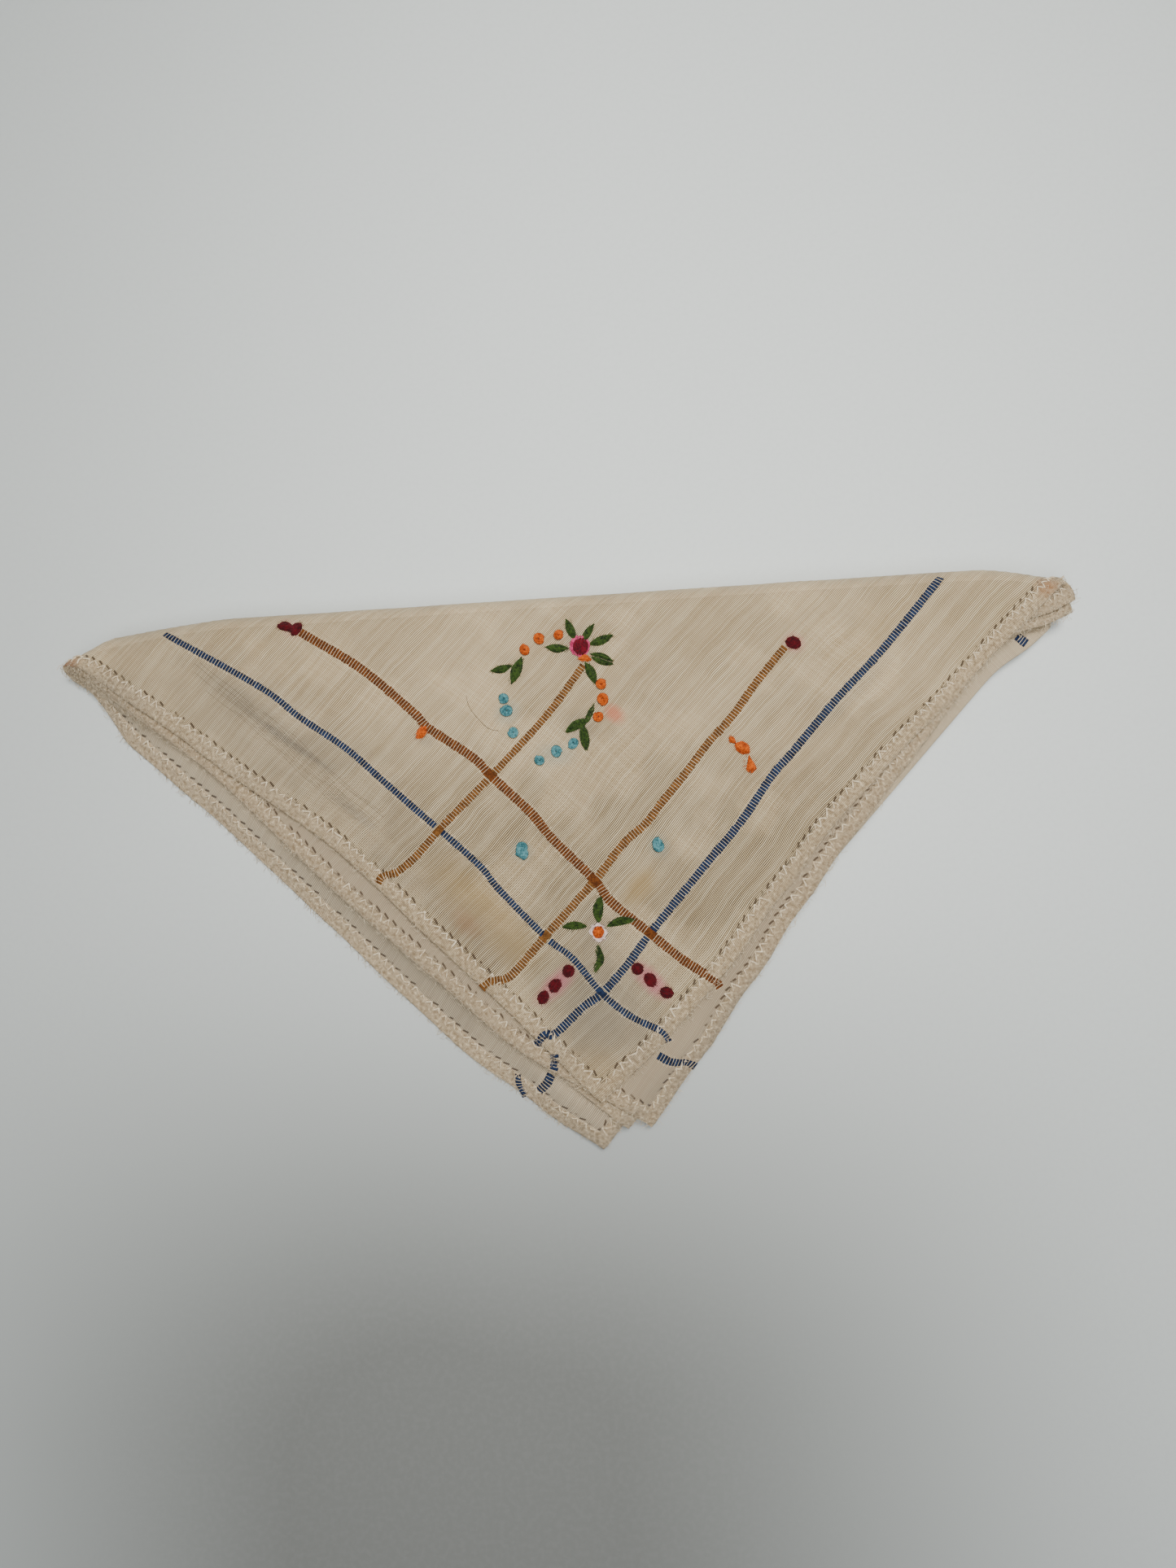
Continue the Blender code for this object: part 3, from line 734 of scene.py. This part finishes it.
def bent_thread(tree, given, start, finish, steps, roundness, sunk):
    """A short thread that arches up between its two ends, which are sunk in the cloth."""
    strand = node(tree, "GeometryNodeCurvePrimitiveLine", {0: start, 1: finish})
    strand = node(tree, "GeometryNodeResampleCurve", {0: strand.outputs[0], 2: steps})
    share = node(tree, "GeometryNodeSplineParameter").outputs[0]
    arch = calc(tree, "POWER", calc(tree, "SINE", product(tree, share, math.pi)), roundness)
    arch = calc(tree, "SUBTRACT", product(tree, arch, given["Arch"]), sunk)
    raised = node(tree, "ShaderNodeCombineXYZ", {2: arch}).outputs[0]
    strand = node(tree, "GeometryNodeSetPosition", {0: strand.outputs[0], 3: raised})
    profile = node(tree, "GeometryNodeCurvePrimitiveCircle", {0: 4, 4: given["Thickness"]})
    return node(tree, "GeometryNodeCurveToMesh", {0: strand.outputs[0], 1: profile.outputs[0]}).outputs[0]


tree, given = growing_tree(
    "bundle of threads", ("Length", "Float", 0.00066), ("Width", "Float", 0.0015), ("Strands", "Int", 5),
    ("Rise", "Float", 0.00010), ("Dome", "Float", 0.00012))
patch = node(tree, "GeometryNodeMeshGrid", {0: given["Length"], 1: given["Width"], 2: 3, 3: 16})
here = node(tree, "ShaderNodeSeparateXYZ", {0: node(tree, "GeometryNodeInputPosition").outputs[0]})
side = calc(tree, "DIVIDE", here.outputs[1], given["Width"])
ridge = calc(tree, "ABSOLUTE", calc(tree, "COSINE", product(tree, side, given["Strands"], math.pi)))
arch = inverse(tree, calc(tree, "POWER", product(tree, side, 2.0), 4.0))
ends = calc(tree, "DIVIDE", here.outputs[0], given["Length"])
ends = inverse(tree, product(tree, ends, ends, 2.4))
height = calc(tree, "ADD", product(tree, ridge, given["Rise"]), product(tree, arch, given["Dome"]))
lifted = node(tree, "ShaderNodeCombineXYZ", {2: product(tree, height, ends)}).outputs[0]
raised = node(tree, "GeometryNodeSetPosition", {0: patch.outputs[0], 3: lifted}).outputs[0]
bundle_tree = end_tree(tree, given, set_down(tree, given, raised, (0.06, 0.10, 0.15), 3))

tree, given = growing_tree(
    "pale thread across", ("Width", "Float", 0.0015), ("Overhang", "Float", 0.0004),
    ("Thickness", "Float", 0.00005), ("Arch", "Float", 0.00020))
reach = calc(tree, "ADD", calc(tree, "DIVIDE", given["Width"], 2.0), given["Overhang"])
start = node(tree, "ShaderNodeCombineXYZ", {1: product(tree, reach, -1.0)}).outputs[0]
finish = node(tree, "ShaderNodeCombineXYZ", {1: reach}).outputs[0]
thread = bent_thread(tree, given, start, finish, 8, 0.6, 0.00006)
tie_tree = end_tree(tree, given, set_down(tree, given, thread, (0.25, 0.12, 0.30), 8))

yarn_look, given, put = new_group(
    "spun yarn look",
    [("Place", "NodeSocketVector", None), ("Fineness", "NodeSocketFloat", 3000.0)],
    [("Shade", "NodeSocketFloat"), ("Height", "NodeSocketFloat")])
fuzz = node(yarn_look, "ShaderNodeTexNoise",
            {"Vector": given["Place"], "Scale": given["Fineness"], "Detail": 3.0})
lumps = node(yarn_look, "ShaderNodeTexNoise", {"Vector": given["Place"], "Scale": 900.0, "Detail": 2.0})
shade = calc(yarn_look, "ADD", product(yarn_look, fuzz.outputs[0], 0.6),
             product(yarn_look, lumps.outputs[0], 0.4))
yarn_look.links.new(spread(yarn_look, shade, 0.35, 0.65), put["Shade"])
yarn_look.links.new(fuzz.outputs[0], put["Height"])


def yarn_finish(name, deep, bright, rough=0.85, sheen=0.08):
    """Dyed or plain cotton yarn: deep between the fibres, brighter on them."""
    finish = bpy.data.materials.new(name)
    finish.use_nodes = True
    tree = finish.node_tree
    surface = tree.nodes["Principled BSDF"]
    place = node(tree, "ShaderNodeTexCoord").outputs["Object"]
    look = node(tree, "ShaderNodeGroup", {"Place": place}, node_tree=yarn_look).outputs
    colour = blend_colour(tree, look["Shade"], (*deep, 1.0), (*bright, 1.0))
    tree.links.new(colour, surface.inputs["Base Color"])
    bump = node(tree, "ShaderNodeBump", {"Height": look["Height"], "Strength": 0.5, "Distance": 0.00006})
    tree.links.new(bump.outputs[0], surface.inputs["Normal"])
    surface.inputs["Roughness"].default_value = rough
    surface.inputs["Sheen Weight"].default_value = sheen
    surface.inputs["Specular IOR Level"].default_value = 0.2
    return finish


# Each stripe: its yarn, its width and the places that it runs through, in millimetres
Stripe = namedtuple("Stripe", "yarn width route")
STRIPES = (
    Stripe("blue", 1.25, ((-82, -2.5), (-63.5, 9.5), (-56, 16), (-47, 23), (-40, 30), (-34, 36), (-22, 48),
                          (-18, 53.5), (-9, 64), (-4, 68.5), (1.5, 76), (7, 81), (13, 84.5), (14.5, 87))),
    Stripe("blue", 1.55, ((75.5, -3.5), (63, 10), (53, 19.5), (43.5, 29.5), (39, 34), (32, 43), (24.5, 51),
                          (12.5, 64), (7, 70.5), (1.5, 76), (-2.5, 78.5), (-8.5, 83.5), (-10.5, 83.5),
                          (-12.5, 85.5))),
    Stripe("brown", 1.75, ((-54.5, -1), (-43, 7), (-33, 16.5), (-30, 20), (-21.5, 26.5), (-18, 30.5),
                           (-10.5, 38.5), (-6.5, 44), (1.5, 53), (4.5, 57.5), (12, 64.5), (18, 70),
                           (22, 73), (24.5, 75), (25.5, 76.5))),
    Stripe("tan", 1.55, ((43, 8.5), (37, 15), (31.6, 21.6), (25.9, 27.2), (21.4, 32.5), (16.5, 37.8),
                         (12.5, 42.3), (7.7, 46.1), (1.6, 53), (-9, 63.5), (-16.5, 71), (-20, 72),
                         (-21, 72), (-23, 73.5))),
    Stripe("tan", 1.45, ((2, 9.5), (-6, 19), (-18, 30.5), (-28.5, 40), (-34, 45.5), (-38, 48.5),
                         (-39.5, 49), (-41.5, 49.5), (-42.5, 51))),
    Stripe("blue", 1.6, ((12.2, 89.4), (14.1, 90.6), (15.8, 91.0), (17.9, 91.2), (19.4, 92.0))),
    Stripe("blue", 1.8, ((-9.0, 87.9), (-8.9, 89.2), (-9.3, 90.7))),
    Stripe("blue", 1.8, ((-9.9, 91.8), (-10.9, 93.5), (-12.6, 94.9))),
    Stripe("blue", 1.3, ((-16.6, 91.3), (-16.5, 93.3), (-15.4, 95.8))),
    Stripe("blue", 1.9, ((90.3, 9.4), (92.2, 11.1))),
)
BUNDLE_PITCH = 0.62
# Where two stripes cross, and the number of the one that lies on top
CROSSINGS = ((1.5, 76.0, 0), (1.5, 53.0, 2), (-18.0, 30.5, 2), (12.2, 64.6, 2), (-9.3, 64.0, 3),
             (-29.3, 40.7, 4))
CROSSING_REACH = 0.95
YARNS = {
    "blue": yarn_finish("blue cotton", (0.003, 0.007, 0.022), (0.016, 0.034, 0.088)),
    "brown": yarn_finish("brown cotton", (0.055, 0.014, 0.002), (0.165, 0.047, 0.006)),
    "tan": yarn_finish("tan cotton", (0.070, 0.025, 0.004), (0.210, 0.086, 0.018)),
    "pale": yarn_finish("pale cotton", (0.540, 0.410, 0.250), (0.880, 0.760, 0.550), 0.85, 0.1),
}
for number, stripe in enumerate(STRIPES):
    places = rounded_route(stripe.route, BUNDLE_PITCH / 2)
    points, outwards = laid(places, 0.00003)
    runs = unit(np.gradient(points, axis=0))
    open_run = np.ones(len(places), bool)
    for along, down, over in CROSSINGS:
        near = np.hypot(places[:, 0] - along, places[:, 1] - down) < CROSSING_REACH
        open_run[1::2] &= ~near[1::2]
        if number != over:
            open_run[::2] &= ~near[::2]
    for part, first, grower, yarn in (("threads", 0, bundle_tree, stripe.yarn),
                                      ("ties", 1, tie_tree, "pale")):
        shown = open_run[first::2]
        spots = point_mesh("stripe_%d" % number, points[first::2][shown], out=outwards[first::2][shown],
                           run=runs[first::2][shown])
        grown("stripe_%d_%s" % (number, part), spots, grower, Finish=YARNS[yarn],
                           Width=stripe.width / 1000)

# The hem stitches
# A pale cotton zigzag along the inner edge of each turned hem, on both faces of the cloth.
# Each stitch is one short slanted thread and a shorter one back.
tree, given = growing_tree(
    "hem stitch", ("Thickness", "Float", 0.00016), ("Reach", "Float", 0.0013), ("Advance", "Float", 0.0010),
    ("Arch", "Float", 0.00026))
corners = [node(tree, "ShaderNodeCombineXYZ",
                {0: product(tree, given["Advance"], ahead),
                 1: product(tree, given["Reach"], across)}).outputs[0]
           for ahead, across in ((-0.9, -0.5), (0.1, 0.55), (1.0, -0.5))]
zigzag = node(tree, "GeometryNodeJoinGeometry")
for start, finish in zip(corners, corners[1:]):
    tree.links.new(bent_thread(tree, given, start, finish, 5, 1.0, 0.00005), zigzag.inputs[0])
stitch_tree = end_tree(tree, given, set_down(tree, given, zigzag.outputs[0], (0.30, 0.34, 0.40), 21))


def hem_frame(side, along, inset, face, seed, step):
    """Places on a hem's roll, the ways along it and across it by a step, and the way out."""
    side_u, side_v = side
    u = np.where(side_u, side_u * (HALF - inset), along)
    v = np.where(side_v, side_v * (HALF - inset), along)
    lift = face * hem_height(along, inset, seed * 10)
    spot_at = folded(u, v, lift)
    ahead = folded(u + abs(step * side_v), v + abs(step * side_u), lift) - spot_at
    across = folded(u + step * side_u, v + step * side_v, lift) - spot_at
    out = np.cross(ahead, across)
    out *= np.sign(np.sum(out * (spot_at - folded(u, v, lift * 0)), axis=1))[:, None]
    return spot_at, ahead, across, unit(out)


STITCH_INSET = 0.0024
runs_of_hem = np.arange(-HALF + 0.004, HALF - 0.0035, HEM_STITCH_PITCH)
spots, runs, outs = [], [], []
stitch_chance = np.random.default_rng(29)
for face in (1, -1):
    for seed, side in enumerate(HEM_SIDES):
        spot_at, ahead, inwards, out = hem_frame(side, runs_of_hem, STITCH_INSET, face, seed, -0.0004)
        ahead = unit(np.cross(inwards, out))
        sway = stitch_chance.normal(0, 0.26, len(spot_at))[:, None] * unit(inwards)
        spots.append(spot_at + ahead * stitch_chance.normal(0, 0.00014, len(spot_at))[:, None])
        runs.append(ahead + sway)
        outs.append(out)
stitches = point_mesh("hem_stitches", np.concatenate(spots), run=np.concatenate(runs),
                      out=np.concatenate(outs))
hem_stitches = grown("hem_stitches", stitches, stitch_tree, Finish=YARNS["pale"])

# The knots
# French knots in cotton yarn, dyed orange, turquoise and red: the yarn is wound twice round
# the needle and pulled down onto the linen.
tree, given = growing_tree(
    "French knot", ("Turns", "Float", 2.3), ("Inner", "Float", 0.00030), ("Outer", "Float", 0.00090),
    ("Height", "Float", -0.00030), ("Thickness", "Float", 0.00036))
coil = node(tree, "GeometryNodeCurveSpiral",
            {0: 14, 1: given["Turns"], 2: given["Inner"], 3: given["Outer"], 4: given["Height"]})
coil = node(tree, "GeometryNodeSetPosition", {0: coil.outputs[0], 3: (0.0, 0.0, 0.00052)})
profile = node(tree, "GeometryNodeCurvePrimitiveCircle", {0: 8, 4: given["Thickness"]})
yarn = node(tree, "GeometryNodeCurveToMesh", {0: coil.outputs[0], 1: profile.outputs[0], 3: True})
knot_tree = end_tree(tree, given, set_down(tree, given, yarn.outputs[0], (0.12, 0.12, 0.12), 5))

YARNS.update(
    orange=yarn_finish("orange cotton", (0.230, 0.028, 0.002), (0.640, 0.120, 0.006)),
    turquoise=yarn_finish("turquoise cotton", (0.014, 0.080, 0.096), (0.115, 0.305, 0.325)),
    red=yarn_finish("red cotton", (0.035, 0.0006, 0.002), (0.110, 0.0014, 0.006)),
    green=yarn_finish("green cotton", (0.004, 0.013, 0.001), (0.042, 0.082, 0.010)),
    pink=yarn_finish("pink cotton", (0.300, 0.012, 0.060), (0.680, 0.075, 0.200)),
    blush=yarn_finish("pale pink cotton", (0.620, 0.420, 0.380), (0.900, 0.760, 0.700)),
)
KNOTS = {
    "orange": ((-9.5, 5.5), (-6.5, 3.5), (-2.5, 3.0), (5.5, 13.5), (5.5, 16.5), (4.5, 20.0)),
    "turquoise": ((-1.0, 25.0), (-4.5, 26.5), (-8.0, 28.0), (-13.0, 22.0), (-14.0, 17.5), (-14.5, 15.0),
                  (-13.0, 46.0), (-12.8, 45.4), (-12.7, 46.6), (15.0, 47.0), (14.8, 46.4)),
}
for yarn, places in KNOTS.items():
    points, outwards = laid(places, 0.00005)
    turns = np.random.default_rng(len(yarn)).uniform(0, 2 * math.pi, len(places))
    runs = np.stack((np.cos(turns), np.sin(turns), np.zeros(len(places))), axis=1)
    knots = point_mesh(yarn + "_knots", points, out=outwards, run=runs)
    grown(yarn + "_knots", knots, knot_tree, Finish=YARNS[yarn])

# The satin stitches
# Buds, berries, leaves and the hearts of two small flowers: short strands of dyed cotton laid
# side by side over the linen, highest in the middle. Fine fibres stand out round each one.
tree, given = growing_tree("laid yarn", ("Sides", "Int", 6))
line = node(tree, "GeometryNodeMeshToCurve", {0: given["Geometry"]})
thick = node(tree, "GeometryNodeInputNamedAttribute", {0: "thick"}, data_type="FLOAT").outputs[0]
profile = node(tree, "GeometryNodeCurvePrimitiveCircle", {0: given["Sides"], 4: 1.0})
yarn = node(tree, "GeometryNodeCurveToMesh", {0: line.outputs[0], 1: profile.outputs[0], 2: thick, 3: True})
yarn_tree = end_tree(tree, given, yarn.outputs[0])


def line_mesh(name, lines):
    """A mesh of open lines: each is its points and how thick the yarn is at each of them."""
    joins = []
    first = 0
    for points, _ in lines:
        joins += [(first + step, first + step + 1) for step in range(len(points) - 1)]
        first += len(points)
    mesh = bpy.data.meshes.new(name)
    mesh.from_pydata(np.concatenate([points for points, _ in lines]).tolist(), joins, [])
    thick = np.concatenate([np.broadcast_to(thick, len(points)) for points, thick in lines])
    mesh.attributes.new("thick", "FLOAT", "POINT").data.foreach_set("value", thick.astype(np.float32))
    return mesh


def on_linen(along, down, across_run, rise):
    """Points rise above the linen, at places given from a middle as offsets along and down."""
    points, outwards = laid(np.stack((along + across_run[:, 0], down + across_run[:, 1]), axis=1))
    return points + outwards * np.asarray(rise)[:, None]


# One patch of strands: its middle, its heading in degrees, its length and width in
# millimetres, how many strands it has, how pointed its ends are, and how far it bends
Patch = namedtuple("Patch", "along down heading long wide strands point bend")
PATCHES = {
    "green": (
        Patch(0.0, 2.0, 110, 4.8, 1.7, 5, 1.0, 0.0), Patch(3.5, 3.0, 56, 4.6, 1.5, 5, 1.0, 0.2),
        Patch(6.0, 4.5, 18, 5.3, 1.7, 5, 1.0, -0.2), Patch(-3.0, 5.5, 173, 4.7, 1.8, 6, 0.9, 0.2),
        Patch(3.5, 11.0, -68, 4.8, 1.8, 5, 0.9, 0.2), Patch(-14.5, 9.0, 190, 4.4, 1.5, 5, 1.1, 0.2),
        Patch(-11.5, 9.5, 245, 5.9, 2.2, 7, 0.9, 0.0), Patch(0.0, 21.5, 205, 5.1, 1.8, 6, 0.8, -0.3),
        Patch(1.4, 24.0, -85, 5.5, 1.8, 6, 0.7, 0.0), Patch(2.7, 19.4, 62, 4.8, 1.0, 3, 0.5, 0.0),
        Patch(2.0, 59.0, 82, 5.4, 2.0, 6, 0.8, 0.3), Patch(-3.2, 62.0, 178, 4.8, 1.5, 5, 0.8, -0.3),
        Patch(6.3, 61.8, 8, 5.7, 1.7, 6, 0.8, 0.5), Patch(1.2, 69.0, -100, 5.5, 1.5, 5, 0.5, 0.8),
        Patch(6.0, 7.9, -22, 4.7, 1.0, 3, 0.8, 0.40), Patch(6.0, 8.8, -22, 4.7, 1.0, 3, 0.8, -0.40),
    ),
    "pink": (
        Patch(1.6, 5.4, 75, 4.4, 4.0, 12, 0.4, 0.0),
    ),
    "blush": (
        Patch(0.5, 63.4, 95, 2.5, 0.9, 3, 0.3, 0.6), Patch(2.7, 63.7, 95, 2.4, 0.9, 3, 0.3, -0.6),
        Patch(1.6, 62.4, 0, 2.3, 0.9, 3, 0.3, 0.5), Patch(1.6, 64.8, 0, 2.3, 0.9, 3, 0.3, -0.5),
    ),
    "orange": (
        Patch(-31.5, 20.8, 230, 3.2, 1.9, 7, 0.7, 0.0), Patch(33.2, 28.2, -35, 3.4, 2.3, 8, 0.6, 0.0),
        Patch(34.6, 31.6, -84, 3.6, 2.3, 8, -0.7, 0.0), Patch(31.3, 26.6, 130, 1.8, 1.3, 5, -0.5, 0.0),
        Patch(2.5, 8.0, -10, 2.6, 1.3, 5, 0.6, 0.3), Patch(1.6, 63.6, 60, 2.6, 2.2, 8, 0.4, 0.0),
    ),
    "red": (
        Patch(-57.6, -2.4, -14, 3.6, 1.7, 7, 0.6, 0.1), Patch(-55.5, -1.8, 48, 3.1, 2.0, 7, 0.5, 0.0),
        Patch(44.9, 7.6, -20, 3.3, 2.4, 8, 0.5, 0.1), Patch(-5.0, 71.0, 48, 2.6, 2.3, 8, 0.5, 0.0),
        Patch(-7.9, 73.8, 52, 3.2, 2.3, 8, 0.5, 0.1), Patch(-10.5, 76.0, 60, 2.9, 2.2, 8, 0.5, 0.0),
        Patch(9.0, 71.5, -40, 2.5, 2.4, 8, 0.5, 0.0), Patch(11.4, 73.9, -62, 3.1, 2.3, 8, 0.5, 0.1),
        Patch(14.6, 76.7, -25, 2.9, 2.3, 8, 0.5, 0.0),
    ),
    "crimson": (
        Patch(1.8, 5.6, 75, 3.5, 3.0, 11, 0.4, 0.0),
    ),
}
STRAND_STEPS = 9
FIBRES_ROUND = 26
YARNS["crimson"] = yarn_finish("crimson cotton", (0.050, 0.001, 0.004), (0.170, 0.002, 0.012))
chance = np.random.default_rng(11)
for yarn, patches in PATCHES.items():
    lines = []
    fibres = []
    for patch in patches:
        way = np.array((math.cos(math.radians(patch.heading)), -math.sin(math.radians(patch.heading))))
        beside = np.array((-way[1], way[0]))
        lift = 0.00035 if yarn == "crimson" or (yarn == "orange" and patch.down > 60) else 0.0
        for strand in np.linspace(-1, 1, patch.strands):
            share = np.linspace(0, 1, STRAND_STEPS)
            swell_out = np.sin(share * math.pi) if patch.point >= 0 else share
            if 0 < patch.point < 0.8:
                swell_out = 0.5 + 0.5 * swell_out ** 0.5
            shorter = 1 - 0.32 * strand ** 2 * (patch.point < 0.8)
            run = (share - 0.5) * patch.long * chance.uniform(0.92, 1.04) * shorter
            off = strand * (patch.wide / 2 - 0.15) * swell_out ** max(abs(patch.point), 0.01)
            off = off + patch.bend * (4 * (share - 0.5) ** 2 - 0.5) + chance.uniform(-0.05, 0.05)
            dome = 0.00034 * (1 - 0.75 * strand ** 2) * np.sin(share * math.pi) ** 0.5 + 0.00006 + lift
            thick = 0.00019 * (0.55 + 0.45 * np.sin(share * math.pi) ** 0.6) * chance.uniform(0.85, 1.15)
            offsets = run[:, None] * way + off[:, None] * beside
            lines.append((on_linen(patch.along, patch.down, offsets, dome), thick))
        for _ in range(FIBRES_ROUND):
            turn = chance.uniform(0, 2 * math.pi)
            rim = way * math.cos(turn) * patch.long * 0.46 + beside * math.sin(turn) * patch.wide * 0.46
            outward = rim / np.linalg.norm(rim) * chance.uniform(0.15, 0.55) + chance.normal(0, 0.12, 2)
            offsets = rim + np.linspace(0, 1, 3)[:, None] * outward
            fibres.append((on_linen(patch.along, patch.down, offsets, (0.00016, 0.00026, 0.00010)), 0.000022))
    for name, laid_lines, sides in (("satin_" + yarn, lines, 6), ("fibres_" + yarn, fibres, 3)):
        grown(name, line_mesh(name, laid_lines), yarn_tree, Finish=YARNS[yarn],
                                Sides=sides)

# The stray hair
# One fine dark hair lies on the linen beside the wreath, curled a little at one end. It is
# loose and only rests there.
hair_places = rounded_route(((-22.0, 13.6), (-21.6, 16.0), (-20.3, 18.2), (-18.0, 20.8), (-15.6, 21.6)), 0.5)
hair_points, hair_outwards = laid(hair_places, 0.00012)
YARNS["dark"] = yarn_finish("dark hair", (0.040, 0.026, 0.016), (0.110, 0.075, 0.050), 0.5, 0.0)
hair_line = line_mesh("stray_hair", [(hair_points, 0.000035)])
grown("stray_hair", hair_line, yarn_tree, Finish=YARNS["dark"], Sides=5)

# The carried threads
# Fine dark threads are carried along behind the linen beside the left blue stripe, and show
# through it as thin broken lines.
CARRIED = 11
CARRIED_SPAN = 4.6
CARRIED_START, CARRIED_END = np.array((-79.0, 1.5)), np.array((-41.0, 39.5))
lines = []
for step in range(CARRIED):
    beside = (step / (CARRIED - 1) - 0.5) * CARRIED_SPAN
    first, last = chance.uniform(0.05, 0.55), chance.uniform(0.70, 1.0)
    share = np.linspace(first, last, 40)[:, None]
    middle_line = CARRIED_START * (1 - share) + CARRIED_END * share
    sway = np.sin(share * 9.0 + 1.1) * 0.35 + np.sin(share * 31.0 + step * 2.0) * 0.07
    line_points, line_outs = laid(middle_line + (beside + sway) * np.array((-0.70, 0.70)))
    depth = 0.000012 * np.sin(share[:, 0] * 60 + step * 1.7)
    lines.append((line_points + line_outs * depth[:, None], 0.000028))
carried_lines = line_mesh("carried_threads", lines)
grown("carried_threads", carried_lines, yarn_tree, Finish=YARNS["dark"], Sides=5)

# The loose fibres
# Washed linen is fuzzy: short pale fibres stand out from the hems and lie over them.
tree, given = growing_tree(
    "loose fibre", ("Length", "Float", 0.0010), ("Curl", "Float", 0.00025), ("Thickness", "Float", 0.000027))
tip = node(tree, "ShaderNodeCombineXYZ", {0: given["Length"]}).outputs[0]
hair = node(tree, "GeometryNodeCurvePrimitiveLine", {1: tip})
hair = node(tree, "GeometryNodeResampleCurve", {0: hair.outputs[0], 2: 4})
share = node(tree, "GeometryNodeSplineParameter").outputs[0]
curl = product(tree, calc(tree, "SINE", product(tree, share, 4.2)), given["Curl"])
curled = node(tree, "ShaderNodeCombineXYZ", {1: curl, 2: curl}).outputs[0]
hair = node(tree, "GeometryNodeSetPosition", {0: hair.outputs[0], 3: curled})
profile = node(tree, "GeometryNodeCurvePrimitiveCircle", {0: 3, 4: given["Thickness"]})
hair = node(tree, "GeometryNodeCurveToMesh", {0: hair.outputs[0], 1: profile.outputs[0]})
fibre_tree = end_tree(tree, given, set_down(tree, given, hair.outputs[0], (0.60, 1.00, 0.30), 31))

FIBRES_PER_SIDE = 2400
spots, runs, outs = [], [], []
for seed, side in enumerate(HEM_SIDES):
    along = chance.uniform(-HALF + 0.001, HALF - 0.001, FIBRES_PER_SIDE)
    inset = np.abs(chance.normal(0, 0.0011, FIBRES_PER_SIDE))
    face = chance.choice((-1.0, 1.0), FIBRES_PER_SIDE)
    spot_at, ahead, beyond, out = hem_frame(side, along, inset, face, seed, 0.0003)
    sway = chance.normal(0, 0.9, FIBRES_PER_SIDE)[:, None]
    spots.append(spot_at - out * 0.00003)
    runs.append(unit(beyond) + sway * unit(ahead))
    outs.append(out)
fuzz = point_mesh("loose_fibres", np.concatenate(spots), run=np.concatenate(runs), out=np.concatenate(outs))
loose_fibres = grown("loose_fibres", fuzz, fibre_tree, Finish=YARNS["pale"])

# The surface, the light and the camera
# A pale table top with a soft shadow painted on it towards the bottom and the left, one broad soft lamp above
# and behind, a weak one in front, and the camera nearly straight above, turned a little so that the long fold
# rises to the right.
bpy.ops.mesh.primitive_plane_add(size=1.6, location=(0.0, 0.0, 0.0))
table_top = bpy.context.object
table_top.name = "table_top"
table_finish = bpy.data.materials.new("pale table top")
table_finish.use_nodes = True
tree = table_finish.node_tree
surface = tree.nodes["Principled BSDF"]
place = node(tree, "ShaderNodeTexCoord").outputs["Object"]
seen = node(tree, "ShaderNodeSeparateXYZ", {0: place}).outputs
grain = node(tree, "ShaderNodeTexNoise", {"Vector": place, "Scale": 900.0, "Detail": 2.0}).outputs[0]
TABLE = (0.73, 0.775, 0.750, 1.0)
TABLE_SHADE = (0.170, 0.176, 0.162, 1.0)
TABLE_GRAIN = (0.4, 0.4, 0.4, 1.0)
# A soft painted shadow darkens the table towards the bottom middle, and painted shade darkens it towards the
# left
table_shadow = product(tree, spread(tree, seen[1], 0.02, -0.110),
           spread(tree, calc(tree, "ABSOLUTE", calc(tree, "ADD", seen[0], 0.02)), 0.17, 0.01))
table_shadow = calc(tree, "ADD", table_shadow, spread(tree, seen[0], 0.02, -0.13, 0.0, 0.20), clamp=True)
colour = blend_colour(tree, table_shadow, TABLE, TABLE_SHADE)
colour = blend_colour(tree, spread(tree, grain, 0.35, 0.75, 0.0, 0.06), colour, TABLE_GRAIN)
tree.links.new(colour, surface.inputs["Base Color"])
surface.inputs["Roughness"].default_value = 0.6
table_top.data.materials.append(table_finish)

# Each lamp: its name and kind, where it stands and aims, its size, its power and its colour
LAMPS = (
    ("window", "SPOT", (0.12, 0.24, 0.88), (0.035, 0.090, 0.0), 0.17, 41.0, (1.0, 0.985, 0.95)),
    ("room", "AREA", (-0.08, -0.34, 0.88), (0.0, 0.0, 0.0), 0.50, 4.2, (0.97, 0.98, 1.0)),
)
SPOT_CONE = math.radians(41)
for name, kind, place, aim, size, power, colour in LAMPS:
    lamp = bpy.data.lights.new(name, kind)
    if kind == "SPOT":
        lamp.spot_size = SPOT_CONE
        lamp.spot_blend = 1.0
        lamp.shadow_soft_size = size
    else:
        lamp.size = size
    lamp.energy = power
    lamp.color = colour
    holder = bpy.data.objects.new(name, lamp)
    holder.location = place
    holder.rotation_euler = (Vector(aim) - Vector(place)).to_track_quat("-Z", "Y").to_euler()
    bpy.context.collection.objects.link(holder)

world = bpy.data.worlds.new("room")
world.use_nodes = True
world.node_tree.nodes["Background"].inputs["Color"].default_value = (0.80, 0.84, 0.90, 1.0)
world.node_tree.nodes["Background"].inputs["Strength"].default_value = 0.17
bpy.context.scene.world = world

camera = bpy.data.objects.new("camera", bpy.data.cameras.new("camera"))
camera.data.lens = 27.0
camera.data.sensor_width = 36.0
camera.data.clip_start = 0.01
camera.location = eye
camera.rotation_euler = Matrix((right, right.cross(sight), -sight)).transposed().to_euler()
bpy.context.collection.objects.link(camera)
bpy.context.scene.camera = camera
